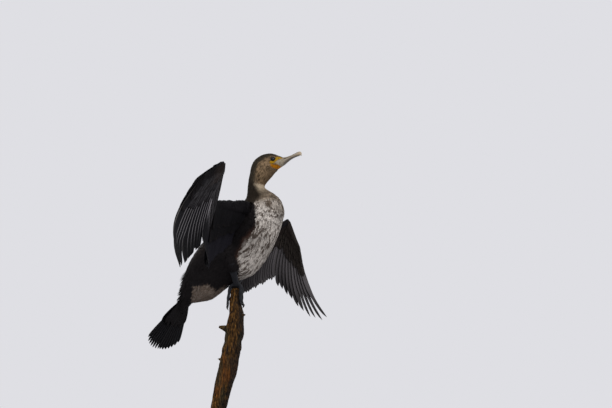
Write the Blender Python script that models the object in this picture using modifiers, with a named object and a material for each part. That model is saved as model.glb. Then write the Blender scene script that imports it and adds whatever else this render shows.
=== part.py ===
"""A young great cormorant drying its wings on a dead branch: a still, life-size display model.

Metres, +Z up. The bird faces -Y, so its right side is -X. The origin is the centre of the stand's
underside. Sizes below are in millimetres, measured from the top of the branch between the feet;
placed() turns them into metres. The bird has no joints: it is mounted in one pose.
"""

import math

import bmesh
import bpy
import numpy as np

MM = 0.001
GAP = 0.3  # left between neighbouring pieces
PERCH_TOP = np.array((16.0, -34.0, 345.0))  # from the stand's origin
MIDLINE = np.array((8.0, 2.5, 2.0))  # the body's middle plane, from the top of the branch
SIDES = {"right": -1.0, "left": 1.0}
VIEW_TURN = math.radians(25.0)  # the outline below was read this far off the true side view

MATERIALS = {
    "black_plumage": ((0.022, 0.021, 0.021), 0.55),
    "brown_neck": ((0.085, 0.066, 0.05), 0.7),
    "pale_underparts": ((0.42, 0.38, 0.33), 0.8),
    "horn": ((0.42, 0.37, 0.28), 0.4),
    "bare_skin": ((0.75, 0.36, 0.05), 0.45),
    "eye": ((0.03, 0.09, 0.08), 0.08),
    "foot_skin": ((0.025, 0.028, 0.034), 0.5),
    "wood": ((0.33, 0.19, 0.09), 0.85),
    "stand": ((0.55, 0.55, 0.54), 0.5),
}

# Body, neck and head: pairs of outline points, back and belly, as (forward, up), and the half
# width there. Each pair is one oval section; KEEL narrows the belly side of it.
BODY_SECTIONS = (
    # back, belly, half width, keel
    ((-152, -4), (-124, -32), 25, 0.05),
    ((-146, 30), (-98, -31), 38, 0.10),
    ((-132, 70), (-66, -27), 51, 0.20),
    ((-112, 104), (-30, -4), 60, 0.30),
    ((-86, 134), (8, 16), 65, 0.30),
    ((-52, 158), (44, 28), 66, 0.22),
    ((-24, 186), (76, 62), 65, 0.15),
    ((0, 208), (100, 104), 60, 0.10),
    ((16, 224), (118, 148), 50, 0.05),
    ((22, 232), (128, 187), 42, 0.0),
)
NECK_LOWER_SECTIONS = (
    ((22, 232), (128, 187), 42, 0.0),
    ((24, 242), (119, 218), 35, 0.0),
    ((24.5, 250), (98, 239), 29, 0.0),
    ((25, 260), (79, 251), 25, 0.0),
    ((26, 270), (71, 262), 22, 0.0),
)
NECK_UPPER_SECTIONS = (
    ((26, 270), (71, 262), 22, 0.0),
    ((28, 286), (79, 273), 21, 0.0),
    ((32, 305), (92, 285), 20.5, 0.0),
)
HEAD_SECTIONS = (
    ((32, 305), (92, 285), 20.5, 0.0),
    ((42, 329), (101, 295), 20, 0.0),
    ((60, 342), (108, 300.5), 20, 0.05),
    ((80, 346.5), (112, 303.5), 19.5, 0.1),
    ((100, 343.5), (116, 306), 16.5, 0.0),
    ((112, 338.5), (120, 309), 13, -0.1),
    ((123, 333), (123.5, 311), 10, -0.1),
)
TRUNK_SIDES = 24
HEAD_SIDES = 26
SECTION_STEPS = 1  # sections made between each two above

# Face, as (forward, up, sideways)
EYE_CENTRE = (99.5, 326.5, 13.2)
EYE_RADIUS = 5.4
LID_RADIUS = 5.0
LID_THICKNESS = 1.3
LID_OUT = 2.6  # how far the lids' rim lies outside the eye's centre
LID_HEIGHT = 0.86  # over its length
LID_SECTION = ((1.0, 0.0), (0.3, 0.95), (-0.8, 0.6), (-0.8, -0.6), (0.3, -0.95))
MOUTH_LINE = ((87.0, 315.5, 12.0), (126.0, 324.7, 5.5))  # forward, up, and how deep it is cut
MOUTH_SLIT = 1.0

# Bill: (forward, up) of the ridge and of the cutting edge, and the half width
UPPER_BILL = (
    ((123, 333), (123.5, 326.0), 9.4),
    ((133, 332.6), (133.5, 328.6), 8.2),
    ((145, 336.4), (145.5, 331.0), 6.4),
    ((156, 341.4), (156.5, 333.2), 5.2),
    ((163, 344.0), (163.5, 334.4), 4.8),
    ((168, 344.2), (168.5, 334.0), 4.0),
    ((171.4, 341.6), (170.8, 332.0), 2.8),
    ((172.2, 337.5), (170.8, 330.8), 1.2),
)
LOWER_BILL = (
    ((123.5, 311), (123.5, 325.4), 9.2),
    ((133, 318), (133.7, 328.0), 7.6),
    ((145.3, 325.2), (145.7, 330.4), 5.8),
    ((157, 329.4), (156.8, 332.6), 4.4),
    ((166.5, 331.6), (166.5, 333.4), 2.8),
)
GROOVE = ((128, 330.8, 8.1), (145, 334.4, 5.8), (158, 338.4, 4.5))  # forward, up, half width there
GROOVE_DEPTH = 0.7
GROOVE_HALF = 0.45
BILL_SIDES = 14
BILL_LIP = 0.14  # how far up each mandible is widest

# Wings: shoulder, elbow, wrist and hand's end; directions of the outermost and the innermost
# feathers of each group; and how far the shafts bow towards the wing's back
WINGS = {
    "right": {
        "joints": ((-48, -48, 194), (-193, -25, 164), (-312, -100, 216), (-384, -88, 170)),
        "primaries": ((-0.08, 0.222, -0.97), (-0.56, -0.12, -0.82)),
        "secondaries": ((-0.01, 0.25, -0.967), (0.16, 0.1, -0.98)),
        "tertials": ((0.12, 0.22, -0.96), (-0.05, 0.42, -0.9)),
        "bow": 28.0,
    },
    "left": {
        "joints": ((64, -48, 194), (160, 29, 147), (262, -40, 232), (334, -42, 183)),
        "primaries": ((0.12, 0.21, -0.97), (0.46, -0.24, -0.855)),
        "secondaries": ((0.08, 0.25, -0.965), (0.03, 0.3, -0.954)),
        "tertials": ((-0.04, 0.32, -0.95), (-0.1, 0.42, -0.9)),
        "bow": 24.0,
    },
}
# Half widths inside the body, at the shoulder, half way along each bone and at each joint
LIMB_HALF_WIDTHS = (21.0, 21.0, 17.0, 14.0, 14.0, 12.5, 9.0, 4.0)
LIMB_FLATNESS = 0.55  # thickness over width
LIMB_SIDES = 8
PRIMARY_LENGTHS = (182, 187, 193, 201, 212, 225, 238, 246, 248, 240)
PRIMARY_ROOTS = (0.10, 0.19, 0.29, 0.39, 0.49, 0.60, 0.71, 0.81, 0.90, 0.97)
SECONDARIES = 13
SECONDARY_LENGTHS = (166, 150)
TERTIALS = 7
TERTIAL_LENGTHS = (150, 104)
TERTIAL_REACH = 0.76  # how far up the arm from the elbow they grow
FLIGHT_WIDTH = 25.0
LEADING_SHARE = 0.36  # of each blade lies before its shaft
LEAD_SPAN = 2  # a blade's leading direction is taken from the shafts this far to each side
INNER_BOW = 0.4  # share of the wing's bow that the secondaries have
TERTIAL_BOW = 6.0
SHINGLE = 7.0  # degrees that each blade is turned, its leading edge over its neighbour
HAND_SHINGLE = 10.5  # the hand's feathers lie closer together and are turned more
ROOT_OFFSET = 0.45  # share of a covert's offset that it has at its root, inside the limb
COVERT_ROWS = (  # (name, how far over the flight shafts, share of their length, set back, width, every)
    ("greater", 3.1, 0.42, 0.0, 20.0, 2),
    ("median", 4.6, 0.24, 7.0, 18.0, 2),
    ("underwing", -3.1, 0.40, 0.0, 22.0, 3),
)
VANE_THICKNESS = (0.7, 0.5)  # at the root and at the tip
ALULA = ((58, 0.0), (46, 4.0), (34, 8.0))  # length, and how far down the hand's edge
ALULA_WIDTH = 13.0
ALULA_OFFSET = 3.0

# Tail: the fan's axis leans back from straight down; lengths run from the middle pair outwards
TAIL_ROOT = (-138, -19)
TAIL_LEAN = math.radians(30.0)
TAIL_SPREAD = math.radians(27.0)
TAIL_LENGTHS = (132, 132, 131, 129, 125, 118, 106)
TAIL_ROOT_SPACING = 3.0
TAIL_CORE = ((16, 24, 13), (32, 21, 8), (48, 17, 5))  # distance down the axis, half width, half depth
TAIL_ROOT_DEPTH = 12.0  # how far down the axis the shafts start
TAIL_LEADING_SHARE = 0.45
TAIL_WIDTH = 21.0
CENTRE_LIFT = 1.4  # one half of the fan lies over the other
TAIL_COVERTS = ((4.2, 0.46), (-4.2, 0.52))  # how far over or under the shafts, share of their length

# Legs: hip side, ankle and foot joints
LEGS = {
    "right": {"hip": (-38, 10, 84), "ankle": (-42, -5, 54), "joint": (-12.5, -6, 10)},
    "left": {"hip": (52, 16, 84), "ankle": (61, 5, 54), "joint": (13, 9, 10)},
}
SHANK_RADII = (8.6, 8.4, 6.8, 7.2)
THIGH_RADII = (26.0, 19.0, 9.5)
LEG_FLATNESS = 0.79
LEG_FLAT_WAY = (1, 0, 0.3)
TOES = {  # bearing round the branch from straight ahead towards the bird's right, and reach down
    "right": ((-42, 38), (-12, 46), (18, 42), (136, 46)),
    "left": ((-82, 38), (-112, 44), (-142, 40), (172, 50)),
}
TOE_RADIUS = 4.2
TOE_RADII = (5.2, 4.6, TOE_RADIUS, TOE_RADIUS * 0.95, TOE_RADIUS * 0.85, 2.6, 0.7)
TOE_CLEARANCE = 0.8  # between the toes' undersides and the mean radius of the branch
WEB_THICKNESS = 1.6
FOOT_ROOM = 1.0  # the belly plumage is parted by this much round each foot

# Branch: (height, how far the axis lies to the left in the outline's plane, radius)
BRANCH = (
    (2, 0.0, 9.5), (-8, 1.0, 11.5), (-28, 2.5, 13.6), (-45, 0.0, 16.5), (-62, -1.5, 18.6),
    (-82, -1.5, 20.8), (-96, -0.5, 22.6), (-112, 0.5, 23.6), (-124, 2.5, 23.2), (-129, 4.5, 21.6),
    (-145, 7.0, 23.4), (-175, 12.0, 23.6), (-209, 18.0, 23.4), (-242, 25.0, 22.6),
    (-275, 32.0, 20.6), (-300, 37.5, 18.8),
)
BRANCH_SIDES = 15
OUTLINE_LEFT = np.array((-0.319, 0.948, 0.0))  # the way the branch leans
OUTLINE_NEAR = np.array((-0.948, -0.319, 0.0))  # square to that, towards the viewer
STUBS = (  # height, bearing (left, near), length from the axis, radius at the root
    (-104, (1.0, 0.15), 41.0, 10.5),
    (-178, (1.0, 0.3), 30.0, 5.5),
    (-70, (-1.0, 0.2), 25.0, 5.0),
    (-150, (-0.4, -1.0), 32.0, 7.5),
)

BASE_RADIUS = 160.0
BASE_THICKNESS = 18.0
BASE_EDGE = 3.0
ROD_RADIUS = 7.0


def vec(*numbers):
    return np.array(numbers, float)


def unit(v):
    return v / np.linalg.norm(v)


def between(a, b, t):
    return a + (b - a) * t


def swung(a, b, t):
    """The direction t of the way from a to b."""
    a, b = unit(np.array(a, float)), unit(np.array(b, float))
    angle = math.acos(max(-1.0, min(1.0, float(a @ b))))
    return (math.sin((1 - t) * angle) * a + math.sin(t * angle) * b) / math.sin(angle)


def square_to(v, axis):
    return unit(v - axis * (v @ axis))


def placed(point):
    return tuple((np.asarray(point, float) + PERCH_TOP) * MM)


def clear_scene():
    for obj in list(bpy.data.objects):
        bpy.data.objects.remove(obj, do_unlink=True)


def make_materials():
    made = {}
    for name, (colour, roughness) in MATERIALS.items():
        material = bpy.data.materials.new(name)
        material.use_nodes = True
        shader = material.node_tree.nodes["Principled BSDF"]
        shader.inputs["Base Color"].default_value = (*colour, 1.0)
        shader.inputs["Roughness"].default_value = roughness
        material.diffuse_color = (*colour, 1.0)
        made[name] = material
    return made


def collected(name):
    collection = bpy.data.collections.new(name)
    bpy.context.scene.collection.children.link(collection)
    return collection


def add_object(name, bm, material=None):
    bmesh.ops.recalc_face_normals(bm, faces=bm.faces)
    mesh = bpy.data.meshes.new(name)
    bm.to_mesh(mesh)
    bm.free()
    obj = bpy.data.objects.new(name, mesh)
    MODEL.objects.link(obj)
    if material:
        mesh.materials.append(PAINTS[material])
    return obj


def finish(obj, angle=40.0):
    """Smooth shading over round stretches, as a modeller would leave it."""
    obj.data.shade_smooth()
    obj.data.set_sharp_from_angle(angle=math.radians(angle))
    return obj


def loft(name, rings, material=None, thin=False):
    """A closed skin over rings of as many points each, capped at both ends. A thin one is split
    into triangles that match on its two faces, so that they cannot cross."""
    bm = bmesh.new()
    rows = [[bm.verts.new(placed(p)) for p in ring] for ring in rings]
    count = len(rows[0])
    for low, high in zip(rows, rows[1:]):
        for i in range(count):
            j = (i + 1) % count
            if not thin:
                bm.faces.new((low[i], low[j], high[j], high[i]))
            elif i < count / 2:
                bm.faces.new((low[i], low[j], high[j]))
                bm.faces.new((low[i], high[j], high[i]))
            else:
                bm.faces.new((low[i], low[j], high[i]))
                bm.faces.new((low[j], high[j], high[i]))
    bm.faces.new(rows[0])
    bm.faces.new(rows[-1])
    return add_object(name, bm, material)


def tube(name, path, radii, sides, material=None, flat=1.0, up=(0.0, 0.0, 1.0)):
    """A tapered round or flattened tube along a path; up is the direction that flat squeezes."""
    rings = []
    for i, point in enumerate(path):
        along = unit(path[min(i + 1, len(path) - 1)] - path[max(i - 1, 0)])
        thin_way = square_to(np.array(up, float), along)
        wide_way = np.cross(along, thin_way)
        rings.append(oval(point, wide_way * radii[i], thin_way * radii[i] * flat, sides))
    return loft(name, rings, material)


def oval(centre, half_a, half_b, sides):
    turns = [2 * math.pi * k / sides for k in range(sides)]
    return [centre + half_a * math.cos(t) + half_b * math.sin(t) for t in turns]


def evaluated(obj):
    """The object with its modifiers applied."""
    graph = bpy.context.evaluated_depsgraph_get()
    mesh = bpy.data.meshes.new_from_object(obj.evaluated_get(graph))
    old = obj.data
    obj.modifiers.clear()
    obj.data = mesh
    bpy.data.meshes.remove(old)
    return obj


def largest_body(obj):
    """Only the largest closed surface is kept: it fills sealed hollows and drops loose scraps."""
    bm = bmesh.new()
    bm.from_mesh(obj.data)
    bm.verts.ensure_lookup_table()
    seen, bodies = set(), []
    for start in bm.verts:
        if start.index in seen:
            continue
        body, edge = [], [start]
        seen.add(start.index)
        while edge:
            vert = edge.pop()
            body.append(vert)
            for link in vert.link_edges:
                other = link.other_vert(vert)
                if other.index not in seen:
                    seen.add(other.index)
                    edge.append(other)
        bodies.append(body)
    kept = max(bodies, key=lambda body: np.ptp([v.co[:] for v in body], axis=0).prod())
    kept = {v.index for v in kept}
    bmesh.ops.delete(bm, geom=[v for v in bm.verts if v.index not in kept], context="VERTS")
    bm.to_mesh(obj.data)
    bm.free()
    return obj


def joined(obj, pieces):
    """Pieces fused into the first object by one union, and then removed."""
    extras = bpy.data.collections.new("pieces of " + obj.name)
    bpy.context.scene.collection.children.link(extras)
    for piece in pieces:
        MODEL.objects.unlink(piece)
        extras.objects.link(piece)
    union = obj.modifiers.new("union", "BOOLEAN")
    union.operation = "UNION"
    union.operand_type = "COLLECTION"
    union.collection = extras
    union.solver = "EXACT"
    evaluated(obj)
    for piece in pieces:
        bpy.data.objects.remove(piece, do_unlink=True)
    bpy.data.collections.remove(extras)
    return largest_body(obj)


def cut(obj, cutter):
    """The cutter's shape taken out of the object."""
    cutter.hide_render = True
    cutter.display_type = "WIRE"
    less = obj.modifiers.new("cut", "BOOLEAN")
    less.operation = "DIFFERENCE"
    less.object = cutter
    less.solver = "EXACT"
    evaluated(obj)
    bpy.data.objects.remove(cutter, do_unlink=True)
    return largest_body(obj)


def swollen(obj, by):
    """A copy pushed outwards, to cut a neighbour clear by that much."""
    bm = bmesh.new()
    bm.from_mesh(obj.data)
    bmesh.ops.remove_doubles(bm, verts=bm.verts, dist=1e-6)
    bm.normal_update()
    for vert in bm.verts:
        vert.co += vert.normal * by * MM
    return add_object(obj.name + " room", bm)


# Trunk: torso, neck and head are one skin parted by thin flat cuts
def true_half_depth(seen, half_width):
    """The outline of an oval seen VIEW_TURN off its side is a little deeper than the oval."""
    return math.sqrt(max(seen**2 - (half_width * math.tan(VIEW_TURN)) ** 2, (0.8 * seen) ** 2))


def section(back, belly, half_width, keel, sides):
    top = MIDLINE + vec(0, -back[0], back[1])
    bottom = MIDLINE + vec(0, -belly[0], belly[1])
    centre = (top + bottom) / 2
    seen = np.linalg.norm(top - bottom) / 2
    up = unit(top - bottom) * true_half_depth(seen, half_width)
    ring = []
    for k in range(sides):
        turn = 2 * math.pi * k / sides
        width = half_width * (1 - keel * (1 - math.cos(turn)) / 2) * math.sin(turn)
        ring.append(centre + up * math.cos(turn) + vec(width, 0, 0))
    return ring


def eased(rows, steps):
    """Rows of numbers with steps more between each two, on a smooth curve through them."""
    table = np.array(rows, float)
    out = []
    for i in range(len(table) - 1):
        before = table[max(i - 1, 0)]
        after = table[min(i + 2, len(table) - 1)]
        here, there = table[i], table[i + 1]
        for k in range(steps + 1):
            t = k / (steps + 1)
            blend = 2 * here + (there - before) * t
            blend += (2 * before - 5 * here + 4 * there - after) * t**2
            blend += (3 * here - before - 3 * there + after) * t**3
            out.append(blend / 2)
    out.append(table[-1])
    return np.array(out)


def parted(ring, towards, by):
    """A flat end section moved along its own normal, away from the cut."""
    a, b = ring[0], ring[len(ring) // 4]
    normal = unit(np.cross(a - ring[len(ring) // 2], b - ring[3 * len(ring) // 4]))
    if normal @ towards < 0:
        normal = -normal
    return [p + normal * by for p in ring]


def trunk_piece(name, sections, sides, material, open_start=False, open_end=False):
    rows = [(*back, *belly, half_width, keel) for back, belly, half_width, keel in sections]
    rings = []
    for row in eased(rows, SECTION_STEPS):
        rings.append(section(row[0:2], row[2:4], row[4], row[5], sides))
    forwards = np.mean(rings[1], axis=0) - np.mean(rings[0], axis=0)
    backwards = np.mean(rings[-2], axis=0) - np.mean(rings[-1], axis=0)
    if open_start:
        rings[0] = parted(rings[0], forwards, GAP / 2)
    if open_end:
        rings[-1] = parted(rings[-1], backwards, GAP / 2)
    return loft(name, rings, material)


def face_point(forward, up, sideways=0.0):
    return MIDLINE + vec(sideways, -forward, up)


def ball(name, centre, radius, material=None):
    """Its poles lie sideways, where the pupils are."""
    bm = bmesh.new()
    bmesh.ops.create_uvsphere(bm, u_segments=12, v_segments=8, radius=radius * MM)
    middle = placed(centre)
    for vert in bm.verts:
        x, y, z = vert.co
        vert.co = (middle[0] + z, middle[1] + y, middle[2] - x)
    return add_object(name, bm, material)


def make_head():
    head = trunk_piece("head", HEAD_SECTIONS, HEAD_SIDES, "brown_neck", open_start=True, open_end=True)
    lids = []
    for side in SIDES.values():
        centre = face_point(EYE_CENTRE[0], EYE_CENTRE[1], side * (EYE_CENTRE[2] + LID_OUT))
        hoop = oval(centre, vec(0, -LID_RADIUS, 0), vec(0, 0, LID_RADIUS * LID_HEIGHT), 16)
        lids.append(ring_tube("lid", hoop, LID_THICKNESS, vec(side, 0, 0)))
    joined(head, lids)
    for side in SIDES.values():
        centre = face_point(EYE_CENTRE[0], EYE_CENTRE[1], side * EYE_CENTRE[2])
        cut(head, ball("socket", centre, EYE_RADIUS + GAP))
    for side in SIDES.values():
        cut(head, mouth_cutter(side))
    return head


def mouth_cutter(side):
    rings = []
    for forward, up, inner in MOUTH_LINE:
        rise = vec(0, 0, MOUTH_SLIT / 2)
        near, far = face_point(forward, up, side * inner), face_point(forward, up, side * 30)
        rings.append([near - rise, far - rise, far + rise, near + rise])
    return loft("mouth", rings)


def ring_tube(name, hoop, radius, outward):
    """A closed hoop of round section."""
    bm = bmesh.new()
    rows = []
    centre = np.mean(hoop, axis=0)
    for point in hoop:
        away = unit(point - centre)
        row = [placed(point + (away * a + outward * b) * radius) for a, b in LID_SECTION]
        rows.append([bm.verts.new(corner) for corner in row])
    for low, high in zip(rows, rows[1:] + rows[:1]):
        for i in range(len(low)):
            j = (i + 1) % len(low)
            bm.faces.new((low[i], low[j], high[j], high[i]))
    return add_object(name, bm)


def bill_piece(name, stations, material, ridge):
    """One mandible: a ridge-backed loft whose flat side is the cutting edge."""
    rows = eased([(*top, *edge, half_width) for top, edge, half_width in stations], 1)
    rings = []
    for row in rows:
        top, edge = face_point(row[0], row[1]), face_point(row[2], row[3])
        ring = []
        for k in range(BILL_SIDES):
            turn = 2 * math.pi * k / BILL_SIDES
            over = math.cos(turn) > -1e-6
            rise = max(math.cos(turn), 0.0)
            height = BILL_LIP + (1 - BILL_LIP) * rise**ridge if over else BILL_LIP * (1 + math.cos(turn))
            width = math.sin(turn) if over else math.copysign(math.sin(turn) ** 2, math.sin(turn))
            ring.append(between(edge, top, height) + vec(row[4] * width, 0, 0))
        rings.append(ring)
    forwards = np.mean(rings[1], axis=0) - np.mean(rings[0], axis=0)
    rings[0] = parted(rings[0], forwards, GAP / 2)
    return loft(name, rings, material)


def nasal_groove(bill, side):
    rings = []
    for forward, up, half_width in GROOVE:
        ring = []
        for across, over in ((-GROOVE_DEPTH, 0), (3, GROOVE_HALF * 2), (3, -GROOVE_HALF * 2)):
            ring.append(face_point(forward, up + over, side * (half_width + across)))
        rings.append(ring)
    return cut(bill, loft("groove", rings))


# Feathers
VANE_SHAPES = {  # (share of the length, share of the width)
    "flight": ((0.0, 0.3), (0.22, 0.7), (0.62, 1.0), (0.92, 0.7), (1.0, 0.24)),
    "tail": ((0.0, 0.3), (0.5, 0.9), (0.9, 0.8), (1.0, 0.3)),
    "covert": ((0.0, 0.35), (0.53, 0.95), (0.84, 0.85), (1.0, 0.3)),
}


class Shaft:
    """The shaft of one feather. lead points to its leading edge, and its bow bends it towards the
    wing's back, most strongly past its middle. In a row, inner and outer are shafts beside it."""

    def __init__(self, root, way, length, lead):
        self.root, self.way, self.length, self.lead = root, way, length, lead
        self.bow = vec(0, 0, 0)
        self.inner = self.outer = None

    def point(self, t):
        """Straight between the stations of a flight feather, so that its coverts lie along it."""
        marks = [mark for mark, _ in VANE_SHAPES["flight"]]
        bent = float(np.interp(t, marks, [4 * mark * (1 - mark) * (0.6 + 0.8 * mark) for mark in marks]))
        return self.root + self.way * self.length * t + self.bow * bent

    def frame(self, t, side):
        """The point t along, and the ways to the leading edge and out of the wing's back there."""
        along = unit(self.point(t + 0.01) - self.point(t - 0.01))
        lead = self.outer.point(t) - self.inner.point(t) if self.inner else self.lead
        out = square_to(lead, along)
        return self.point(t), out, side * np.cross(out, along)


def vane(shaft, side, width, shape, offset=0.0, reach=1.0, set_back=0.0, lead_share=LEADING_SHARE,
         twist=SHINGLE):
    """One feather: a thin blade along a bowed shaft, or a covert along the first part of one, offset
    towards the wing's back. Its leading edge is narrow and, turned by twist, lies over its neighbour."""
    rings = []
    turn = math.radians(twist)
    for s, share in VANE_SHAPES[shape]:
        t = s * reach - set_back / shaft.length * (1 - s)
        point, out, over = shaft.frame(t, side)
        point = point + over * offset * min(1.0, ROOT_OFFSET + s)
        across = out * math.cos(turn) + over * math.sin(turn)
        over = over * math.cos(turn) - out * math.sin(turn)
        half = between(*VANE_THICKNESS, s) / 2
        front = point + across * width * share * lead_share
        rear = point - across * width * share * (1 - lead_share)
        rings.append([front + over * half, rear + over * half, rear - over * half, front - over * half])
    return loft("vane", rings, None, thin=True)


def flight_shafts(wing, side):
    """The shafts of the secondaries, from the elbow out, and then of the primaries."""
    _, elbow, wrist, hand_end = (np.array(p, float) for p in wing["joints"])
    row, bows = [], []
    for k in reversed(range(SECONDARIES)):
        t = (k + 0.5) / SECONDARIES
        way = swung(*wing["secondaries"], t)
        row.append(Shaft(between(wrist, elbow, t), way, between(*SECONDARY_LENGTHS, t), None))
        bows.append(wing["bow"] * INNER_BOW)
    for k, share in enumerate(PRIMARY_ROOTS):
        t = k / (len(PRIMARY_ROOTS) - 1)
        way = swung(*wing["primaries"], t)
        row.append(Shaft(between(wrist, hand_end, share), way, PRIMARY_LENGTHS[k], None))
        bows.append(wing["bow"] * between(INNER_BOW, 1.0, t))
    return in_row(row, bows, side)


def tertial_shafts(wing, side):
    shoulder, elbow = (np.array(p, float) for p in wing["joints"][:2])
    row = []
    for k in reversed(range(TERTIALS)):
        t = (k + 0.6) / TERTIALS
        way = swung(*wing["tertials"], t)
        root = between(elbow, shoulder, t * TERTIAL_REACH)
        row.append(Shaft(root, way, between(*TERTIAL_LENGTHS, t), None))
    return in_row(row, [TERTIAL_BOW] * TERTIALS, side)


def in_row(row, bows, side):
    """Sets beside each shaft those a few places in and out, so that the surface turns gently at the
    wrist, and bows it out of that surface."""
    last = len(row) - 1
    pairs = [(row[max(i - LEAD_SPAN, 0)], row[min(i + LEAD_SPAN, last)]) for i in range(len(row))]
    bent = []
    for shaft, bow, (inner, outer) in zip(row, bows, pairs):
        back = side * np.cross(outer.point(0.5) - inner.point(0.5), shaft.way)
        bent.append(unit(back) * bow)
    for shaft, bow, (shaft.inner, shaft.outer) in zip(row, bent, pairs):
        shaft.bow = bow
    return row


def limb_rings(wing, side):
    """Sections of the arm from shoulder to hand's end; those at the joints lie in the mitre planes."""
    joints = [np.array(p, float) for p in wing["joints"]]
    inner = joints[0] + vec(-side * 22, 6, -4)
    path = [inner, joints[0]]
    for low, high in zip(joints, joints[1:]):
        path += [between(low, high, 0.5), high]
    rings = []
    for i, (point, width) in enumerate(zip(path, LIMB_HALF_WIDTHS)):
        before = unit(point - path[i - 1]) if i else unit(path[1] - point)
        after = unit(path[i + 1] - point) if i + 1 < len(path) else before
        plane = unit(before + after)
        back = square_to(side * np.cross(plane, vec(0, 0.2, -1)), plane)
        wide = np.cross(back, plane)
        half_wide = wide * width / (before @ plane)
        rings.append(oval(point, half_wide, back * width * LIMB_FLATNESS, LIMB_SIDES))
    return rings


def ring_ended(rings, shift_start, shift_end):
    rings = [list(ring) for ring in rings]
    if shift_start:
        rings[0] = parted(rings[0], np.mean(rings[1], axis=0) - np.mean(rings[0], axis=0), GAP / 2)
    if shift_end:
        rings[-1] = parted(rings[-1], np.mean(rings[-2], axis=0) - np.mean(rings[-1], axis=0), GAP / 2)
    return rings


def feathered(limb, shafts, side, twist=SHINGLE):
    """A limb with its flight feathers and the rows of coverts over and under their roots."""
    vanes = [vane(shaft, side, FLIGHT_WIDTH, "flight", twist=twist) for shaft in shafts]
    for _, offset, reach, set_back, width, every in COVERT_ROWS:
        for shaft in shafts[every // 2 :: every]:
            lift = offset * twist / SHINGLE
            vanes.append(vane(shaft, side, width, "covert", lift, reach, set_back, twist=twist))
    return joined(limb, vanes)


def alula_vanes(wing, side):
    """The bastard wing: short stiff feathers along the hand's leading edge."""
    wrist, hand_end = (np.array(p, float) for p in wing["joints"][2:])
    outward = unit(hand_end - wrist)
    edge = square_to(-np.array(wing["primaries"][0], float), outward)
    vanes = []
    for length, down in ALULA:
        shaft = Shaft(wrist + outward * 6 + edge * (7 - down), unit(outward + edge * 0.12), length, edge)
        lift = ALULA_OFFSET + down * 0.35
        vanes.append(vane(shaft, side, ALULA_WIDTH, "covert", lift, twist=-SHINGLE))
    return vanes


def make_wing(side_name, torso):
    wing, side = WINGS[side_name], SIDES[side_name]
    rings = limb_rings(wing, side)
    arm = loft("wing_arm_" + side_name, ring_ended(rings[0:4], False, True), "black_plumage")
    forearm = loft("wing_forearm_" + side_name, ring_ended(rings[3:6], True, True), "black_plumage")
    hand = loft("wing_hand_" + side_name, ring_ended(rings[5:8], True, False), "black_plumage")
    shafts = flight_shafts(wing, side)
    feathered(arm, tertial_shafts(wing, side), side)
    feathered(forearm, shafts[:SECONDARIES], side)
    joined(hand, alula_vanes(wing, side))
    feathered(hand, shafts[SECONDARIES:], side, HAND_SHINGLE)
    cut(hand, swollen(forearm, GAP))
    cut(arm, swollen(forearm, GAP))
    cut(arm, swollen(torso, GAP))
    return arm, forearm, hand


def make_tail(start_ring):
    root = face_point(*TAIL_ROOT)
    axis = vec(0, math.sin(TAIL_LEAN), -math.cos(TAIL_LEAN))
    back = vec(0, math.cos(TAIL_LEAN), math.sin(TAIL_LEAN))
    core = [parted(start_ring, axis, GAP / 2)]
    for reach, half_width, half_depth in TAIL_CORE:
        core.append(oval(root + axis * reach, back * half_depth, vec(half_width, 0, 0), TRUNK_SIDES))
    tail = loft("tail", core, "black_plumage")
    vanes = []
    pairs = len(TAIL_LENGTHS)
    for side in SIDES.values():
        for k, length in enumerate(TAIL_LENGTHS):
            share = (k + 0.5) / (pairs - 0.5)
            turn = TAIL_SPREAD * share
            way = axis * math.cos(turn) + vec(side * math.sin(turn), 0, 0)
            start = root + vec(side * share * pairs * TAIL_ROOT_SPACING, 0, 0) + axis * TAIL_ROOT_DEPTH
            lift = CENTRE_LIFT if side > 0 else 0.0
            shaft = Shaft(start + back * lift, way, length, vec(side, 0, 0))
            share = TAIL_LEADING_SHARE
            vanes.append(vane(shaft, -side, TAIL_WIDTH, "tail", lead_share=share))
            for offset, reach in TAIL_COVERTS if k % 2 == 0 else ():
                vanes.append(vane(shaft, -side, TAIL_WIDTH, "covert", offset, reach, lead_share=share))
    return joined(tail, vanes)


# Legs and feet
def branch_axis(height):
    heights = [row[0] for row in reversed(BRANCH)]
    left = np.interp(height, heights, [row[1] for row in reversed(BRANCH)])
    radius = np.interp(height, heights, [row[2] for row in reversed(BRANCH)])
    return vec(0, 0, height) + OUTLINE_LEFT * left, radius


def bearing(angle):
    turn = math.radians(angle)
    return vec(-math.sin(turn), -math.cos(turn), 0)


def toe_path(joint, angle, reach):
    """From the foot's joint over the branch's top edge and down its side, just clear of the bark."""
    away = bearing(angle)
    path = [joint.copy()]
    clear = TOE_RADIUS + TOE_CLEARANCE
    rim, radius = branch_axis(-2)
    path.append(between(joint, rim + away * (radius + clear - 1.0) + vec(0, 0, 8.5), 0.62) + vec(0, 0, 1.0))
    path.append(rim + away * (radius + clear) + vec(0, 0, 5.0))
    for share in (0.3, 0.62, 0.85, 1.0):
        centre, radius = branch_axis(-reach * share)
        path.append(centre + away * (radius + clear - 1.4 * share))
    return path


def make_foot(side_name):
    joint = np.array(LEGS[side_name]["joint"], float)
    toes = []
    paths = []
    for angle, reach in TOES[side_name]:
        path = toe_path(joint, angle, reach)
        paths.append(path)
        toes.append(tube("toe", path, TOE_RADII, 7, up=bearing(angle) + vec(0, 0, 0.6)))
    for k in (0, 1):
        away = bearing((TOES[side_name][k][0] + TOES[side_name][k + 1][0]) / 2) * WEB_THICKNESS / 2
        rings = [[a + away, b + away, b - away, a - away] for a, b in zip(paths[k], paths[k + 1])]
        toes.append(loft("web", rings[1:5], None, thin=True))
    foot = ball("foot_" + side_name, joint + vec(0, 0, 0.5), 7.2, "foot_skin")
    return joined(foot, toes)


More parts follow.
